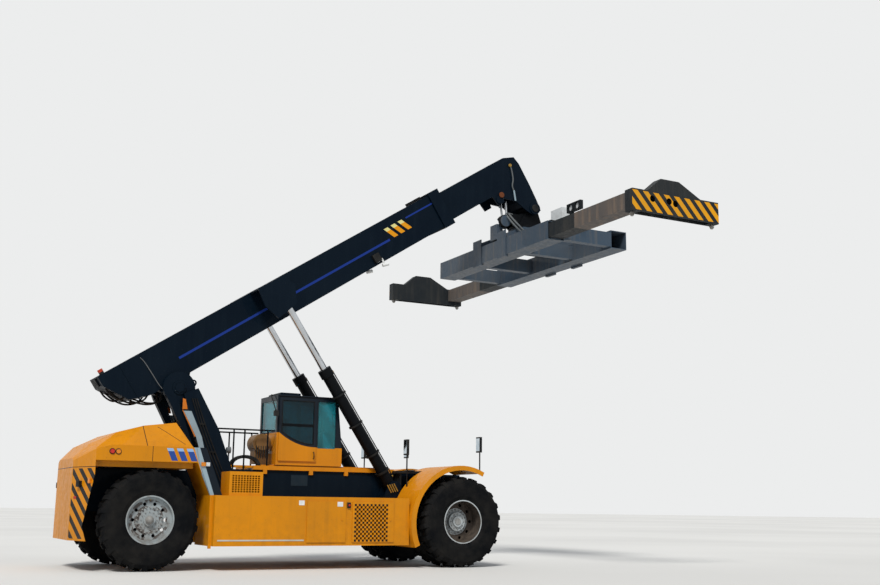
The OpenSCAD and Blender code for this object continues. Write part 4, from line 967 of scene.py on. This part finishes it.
# Door handle: place behind the door's front edge, and how far out and how high each corner is
HANDLE_BACK = 0.06
HANDLE = [(-0.005, 2.40), (0.04, 2.42), (0.04, 2.53), (-0.005, 2.55)]
WIPER_ARM = [(0.012, 0.05, 2.70), (-0.035, -0.10, 3.05), (-0.055, -0.16, 3.28)]
WIPER_BLADE, WIPER_HALF, WIPER_LEAN = (-0.05, -0.16, 3.20), 0.30, math.radians(-6)
ARM = [(0.05, -0.22, CAB_TOP - 0.02), (-0.04, -0.24, 3.84), (-0.06, -0.5, 3.62),
       (-0.06, -0.68, 3.42)]
ARM_LAMP = (-0.12, -0.76, 3.33), (-0.02, -0.66, 3.45)
SEAT_COVER = (0.34, -0.23, 2.755), (0.79, 0.23, 2.80)
BACK_COVER = (0.345, -0.215, 2.86), (0.375, 0.215, 3.30)
CAB_SINGLES = [
    ("cab_roof_unit", "cab", "navy_paint", None, Piece.box,
     ((0.12, -0.42, CAB_TOP - 0.01), (0.62, 0.42, CAB_TOP + 0.07)), False, 0.015),
    ("cab_gutter", "cab", "black_paint", None, Piece.plate,
     ((0.02, cab_hi[0] - cab_lo[0] - 0.15), (CAB_TOP - 0.045, CAB_TOP - 0.02), -cab_lo[1], 0.012),
     True, 0.003),
]
# Slots of the unit under the cab: x and z from its corner, width, pitch and how many
SLOT_X, SLOT_Z, SLOT_WIDTH, SLOT_PITCH, SLOT_COUNT = 0.06, (0.12, 0.40), 0.02, 0.055, 6


def belt_height(x):
    """The belt line's height at a place ahead of the cab's rear wall."""
    start, end = BELT_X
    run = min(1, max(0, (x - start) / (end - start)))
    return cab_lo[2] + BELT_FRONT + (BELT_REAR - BELT_FRONT) * (1 - run) ** BELT_CURVE


def add_door_trim():
    door_lo, door_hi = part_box("cab_door")
    face, front = door_lo[1], door_hi[0] - cab_lo[0]
    glass_lo, glass_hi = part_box("cab_door_glass")
    x0, x1 = glass_lo[0] - cab_lo[0], glass_hi[0] - cab_lo[0]
    seal = Piece("door_seal", "cab_door", "dark_plastic", HOSE, CAB)
    outline = [(x1, glass_hi[2]), (x0, glass_hi[2])]
    for k in range(SEAL_STEPS + 1):
        x = x0 + (x1 - x0) * k / SEAL_STEPS
        outline.append((x, belt_height(x) + SEAL_OVER_BELT))
    path = [(x, face + 0.002, z) for x, z in outline]
    seal.tube(path, 0.013, sides=8, steps=1, closed=True).done()
    bar = Piece("door_bar", "cab_door", "black_paint", place=CAB)
    bar.box((x0, face + 0.002, DOOR_BAR_Z[0]), (x1, face + 0.012, DOOR_BAR_Z[1])).done(0.002)
    handle = Piece("door_handle", "cab_door", "dark_plastic", place=CAB)
    handle.tube([(front - HANDLE_BACK, face - out, z) for out, z in HANDLE], 0.010).done()


def add_cab_trim():
    add_door_trim()
    add_singles(CAB, CAB_SINGLES)
    wiper = Piece("wiper", "cab", "dark_plastic", place=CAB_FRONT)
    _, y, z = WIPER_ARM[0]
    wiper.rod((-0.01, y, z), (-0.04, y, z), 0.025)
    wiper.tube(WIPER_ARM, 0.008)
    blade = Matrix.Translation(WIPER_BLADE) @ Matrix.Rotation(WIPER_LEAN, 4, "Y")
    wiper.box((-0.008, -0.008, -WIPER_HALF), (0.008, 0.008, WIPER_HALF), blade).done()
    arm = Piece("cab_arm_lamp", "cab", "dark_plastic", place=CAB)
    arm.tube(ARM, 0.014).box(*ARM_LAMP).done(0.008)
    cloth = Piece("seat_covers", "cab", "dark_plastic", SEAT_CLOTH, CAB)
    cloth.box(*SEAT_COVER).box(*BACK_COVER).done(0.012)
    slots = Piece("unit_trim", "cab", "dark_plastic", place=CAB)
    unit_x, unit_y, unit_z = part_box("cab_unit")[0]
    low, high = (unit_z + z for z in SLOT_Z)
    for k in range(SLOT_COUNT):
        x = unit_x - cab_lo[0] + SLOT_X + k * SLOT_PITCH
        slots.plate((x, x + SLOT_WIDTH), (low, high), -unit_y, 0.004)
    slots.done(0.001)


# On the boom, places run along it and square to it from the pivot, with y across
TAIL_HOSES = [[(-1.31, 0.92), (-1.31, 0.64), (-1.21, 0.44), (-1.07, 0.40), (-0.96, 0.46)],
              [(-1.29, 0.80), (-1.22, 0.52), (-1.08, 0.29), (-0.90, 0.17), (-0.72, 0.14),
               (-0.58, 0.20)],
              [(-1.00, 0.38), (-0.80, 0.15), (-0.62, 0.00), (-0.42, -0.06), (-0.30, 0.10)]]
TAIL_HOSE_Y, TAIL_HOSE_PITCH = -0.30, 0.06
# A pale rod on each boom side along the rib's edge behind the pivot, as places along and square to the boom: a
# painted highlight, for the light that the rib's edge catches
RIB_HIGHLIGHT_LINE = [(-0.386, 0.99), (-0.352, 0.85), (-0.336, 0.57), (-0.325, 0.28), (-0.30, 0.14)]
# Cameras under the boom's sides: how far out, ends of the round body, and the bracket
CAMERA_OUT, CAMERA_ENDS, CAMERA_R = 0.05, [(5.90, 0.10), (6.06, 0.06)], 0.042
BRACKET_S, BRACKET_T, BRACKET_HALF = (5.94, 5.99), (0.10, 0.26), 0.012
BOOM_SINGLES = [
    ("tail_block", "boom", "black_paint", None, Piece.box,
     ((-1.405, -0.20, 0.86), (-1.34, 0.20, 1.05)), False, 0.008),
    # Pale rod along the rib's edge: painted highlight
    ("rib_edge_highlight", "boom", "dark_plastic", HOSE_GREY, Piece.tube,
     ([(s, -OUTER_HALF - 0.014, t) for s, t in RIB_HIGHLIGHT_LINE], 0.010, 8), True, 0),
    ("beacon_lens", "boom", "lamp_red", BEACON, Piece.rod,
     ((-1.24, -0.33, 1.12), (-1.24, -0.33, 1.184), 0.0575), False, 0),
    ("boom_lamp_lenses", "boom", "dark_plastic", CLEAR, Piece.rod,
     ((5.855, -0.475, 0.225), (5.855, -0.475, 0.214), 0.038), True, 0),
]


def add_boom_trim():
    add_singles(BOOM, BOOM_SINGLES)
    hoses = Piece("tail_hoses", "boom", "dark_plastic", HOSE, BOOM)
    fittings = Piece("tail_fittings", "boom", "lock_steel", BRASS, BOOM)
    for k, path in enumerate(TAIL_HOSES):
        y = TAIL_HOSE_Y + TAIL_HOSE_PITCH * k
        hoses.tube([(s, y, t) for s, t in path], 0.020)
        s, t = path[0]
        fittings.rod((s, y, t - 0.03), (s, y, t + 0.05), 0.027, sides=12)
    hoses.mirrored().done()
    fittings.mirrored().done(0.002)
    camera = Piece("boom_camera", "boom", "grey_paint", WHITE, BOOM)
    for sign in (-1, 1):
        y = sign * (OUTER_HALF + CAMERA_OUT)
        rear, front = [(s, y, t) for s, t in CAMERA_ENDS]
        camera.rod(rear, front, CAMERA_R)
        camera.box((BRACKET_S[0], y - BRACKET_HALF, BRACKET_T[0]),
                   (BRACKET_S[1], y + BRACKET_HALF, BRACKET_T[1]))
    camera.done(0.004)


# On the lift barrel: places along it from the foot pin, and distances from its axis
BARREL_R = 0.155
LIFT_PIPE = [(0.22, BARREL_R), (0.30, 0.170), (1.60, 0.170), (2.98, 0.170), (3.06, BARREL_R)]
LIFT_BAND, LIFT_BAND_R = (0.42, 0.47), 0.172
LIFT_CLIPS, CLIP_WIDTH, CLIP_R = (0.9, 1.7, 2.5), 0.04, 0.170
CLIP_BLOCK_HALF, CLIP_BLOCK_Z = 0.03, (0.165, 0.188)


def add_lift_trim():
    for side, across in (("right", 0), ("left", -2 * LIFT_FOOT.y)):
        body = "lift_barrel_" + side
        place = Matrix.Translation((0, across, 0)) @ LIFT
        pipe = Piece("lift_pipe_" + side, body, "lock_steel", HOSE, place)
        pipe.tube([(s, 0, z) for s, z in LIFT_PIPE], 0.013, sides=8).done()
        bands = Piece("lift_bands_" + side, body, "dark_plastic", HOSE, place)
        bands.sleeve(*LIFT_BAND, BARREL_R, LIFT_BAND_R).done()
        clips = Piece("lift_clips_" + side, body, "dark_plastic", place=place)
        low, high = CLIP_BLOCK_Z
        for s in LIFT_CLIPS:
            clips.sleeve(s, s + CLIP_WIDTH, BARREL_R, CLIP_R)
            clips.box((s, -CLIP_BLOCK_HALF, low), (s + CLIP_WIDTH, CLIP_BLOCK_HALF, high))
        clips.done()
        brass = Piece("lift_fittings_" + side, body, "lock_steel", BRASS, place)
        for s, z in (LIFT_PIPE[0], LIFT_PIPE[-1]):
            brass.rod((s, 0, z - 0.005), (s, 0, z + 0.025), 0.022, sides=12)
        brass.done(0.002)


# Hoses at the yoke, from the front axle
YOKE_HOSES = [[(2.33, -0.28, 9.05), (2.10, -0.50, 8.95), (2.20, -0.80, 8.58), (2.50, -0.86, 8.34),
               (2.90, -0.86, 8.36), (3.12, -0.80, 8.55), (3.20, -0.60, 8.80)],
              [(2.42, -0.28, 9.05), (2.20, -0.50, 8.96), (2.30, -0.80, 8.62), (2.54, -0.86, 8.41),
               (2.86, -0.86, 8.43), (3.05, -0.80, 8.60), (3.14, -0.60, 8.82)]]
# On the head, x counts from its pin. The cheek's face is at CHEEK_Y
CHEEK_Y = -0.395
HEAD_HOSE = [(-0.79, -0.404, 10.35), (-0.75, -0.415, 10.22), (-0.71, -0.415, 9.98),
             (-0.73, -0.415, 9.80), (-0.68, -0.41, 9.66)]
HEAD_SINGLES = [
    ("head_hose", "inner_boom", "dark_plastic", HOSE_GREY, Piece.tube,
     (HEAD_HOSE, 0.018, 8), True, 0),
    ("head_rod", "inner_boom", "chrome_rod", PALE_STRIP, Piece.rod,
     ((-0.68, -0.412, 9.68), (-0.63, -0.412, 9.40), 0.024, 0.024, 16), True, 0.003),
    ("head_cap", "inner_boom", "lock_steel", RUST, Piece.rod,
     ((-1.06, CHEEK_Y, 9.50), (-1.06, CHEEK_Y - 0.03, 9.50), 0.075), True, 0.004),
    ("head_boss", "inner_boom", "lock_steel", BRASS, Piece.rod,
     ((-0.80, CHEEK_Y, 10.36), (-0.80, CHEEK_Y - 0.035, 10.36), 0.045), True, 0.004),
    ("head_pin_caps", "inner_boom", "dark_plastic", DARK, Piece.rod,
     ((0, CHEEK_Y, HEAD.z), (0, CHEEK_Y - 0.025, HEAD.z), 0.10), True, 0.004),
]
# Lamps on the spreader: the housing's face, both places across, height, radius
SPREADER_LAMPS = (-0.426, (-3.00, -2.72), 8.67, 0.080)
# Hoses on the drum: the drum's place, first hose's place across, pitch, how many, radius
DRUM_X, DRUM_Z, DRUM_R = -1.04, 8.755, 0.155
DRUM_HOSE_Y, DRUM_HOSE_PITCH, DRUM_HOSE_COUNT = -0.50, -0.03, 3


def add_head_trim():
    loops = Piece("yoke_hoses", "slew_carriage", "dark_plastic", HOSE_GREY)
    for path in YOKE_HOSES:
        loops.tube(path, 0.026)
    loops.done()
    add_singles(HEAD_PLACE, HEAD_SINGLES)
    lenses = Piece("spreader_lamp_lenses", "spreader", "dark_plastic", CLEAR, HEAD_PLACE)
    x, places, z, r = SPREADER_LAMPS
    for y in places:
        lenses.rod((x, y, z), (x - 0.018, y, z), r)
    lenses.done(0.003)
    coils = Piece("drum_hoses", "slew_carriage", "dark_plastic", HOSE, HEAD_PLACE)
    for k in range(DRUM_HOSE_COUNT):
        ring = circle(DRUM_X, DRUM_HOSE_Y + k * DRUM_HOSE_PITCH, DRUM_Z, DRUM_R, 24)
        coils.tube(ring, 0.016, sides=8, steps=1, closed=True)
    coils.done()


# Floor, backdrop and light
FLOOR_SIZE = 300
FLOOR_COLOUR, FLOOR_PATCH = "dcdcda", "d4d4d2"
SKY_COLOUR = "eceded"
SKY_LIGHT, SKY_STRENGTH = (0.80, 0.84, 0.90, 1), 0.5
SUN_ENERGY, SUN_COLOUR = 2.9, (1.0, 0.97, 0.92)
# The sun's width, its angle from straight above, and its heading
SUN_WIDTH, SUN_TILT, SUN_HEADING = math.radians(14), math.radians(42), math.radians(-38)


def add_floor():
    bm = bmesh.new()
    bmesh.ops.create_circle(bm, cap_ends=True, segments=96, radius=FLOOR_SIZE)
    mesh = bpy.data.meshes.new("floor")
    bm.to_mesh(mesh)
    bm.free()
    g = Graph("floor", 0.85, colour=FLOOR_COLOUR)
    g.colour(g.mix(g.steps(g.noise(0.05, 3), 0.4, 0.6), FLOOR_COLOUR, FLOOR_PATCH))
    mesh.materials.append(g.material)
    floor = placed("floor", mesh)


def add_sky():
    """A soft light all round. The camera, mirrors and glass see a paler, even backdrop."""
    world = bpy.data.worlds.new("studio")
    bpy.context.scene.world = world
    world.use_nodes = True
    tree = world.node_tree
    new, link = tree.nodes.new, tree.links.new
    back, pale = tree.nodes["Background"], new("ShaderNodeBackground")
    for node, colour, strength in ((back, SKY_LIGHT, SKY_STRENGTH), (pale, linear(SKY_COLOUR), 1)):
        node.inputs["Color"].default_value = colour
        node.inputs["Strength"].default_value = strength
    path = new("ShaderNodeLightPath")
    seen = path.outputs["Is Camera Ray"]
    for ray in ("Is Glossy Ray", "Is Transmission Ray"):
        both = new("ShaderNodeMath")
        both.operation, both.use_clamp = "ADD", True
        link(seen, both.inputs[0])
        link(path.outputs[ray], both.inputs[1])
        seen = both.outputs[0]
    shown = new("ShaderNodeMixShader")
    for out, socket in zip((seen, back.outputs[0], pale.outputs[0]), shown.inputs):
        link(out, socket)
    link(shown.outputs[0], tree.nodes["World Output"].inputs["Surface"])


def add_sun():
    sun = bpy.data.lights.new("key", "SUN")
    sun.energy = SUN_ENERGY
    sun.angle = SUN_WIDTH
    sun.color = SUN_COLOUR
    placed("key", sun).rotation_euler = (SUN_TILT, 0, SUN_HEADING)


add_wheel_trim()
add_side_plates()
add_body_lamps()
add_front_trim()
add_tail_lamps()
add_tower_trim()
add_cab_trim()
add_boom_trim()
add_lift_trim()
add_head_trim()
add_floor()
add_sky()
add_sun()
bpy.context.scene.view_settings.view_transform = "Standard"
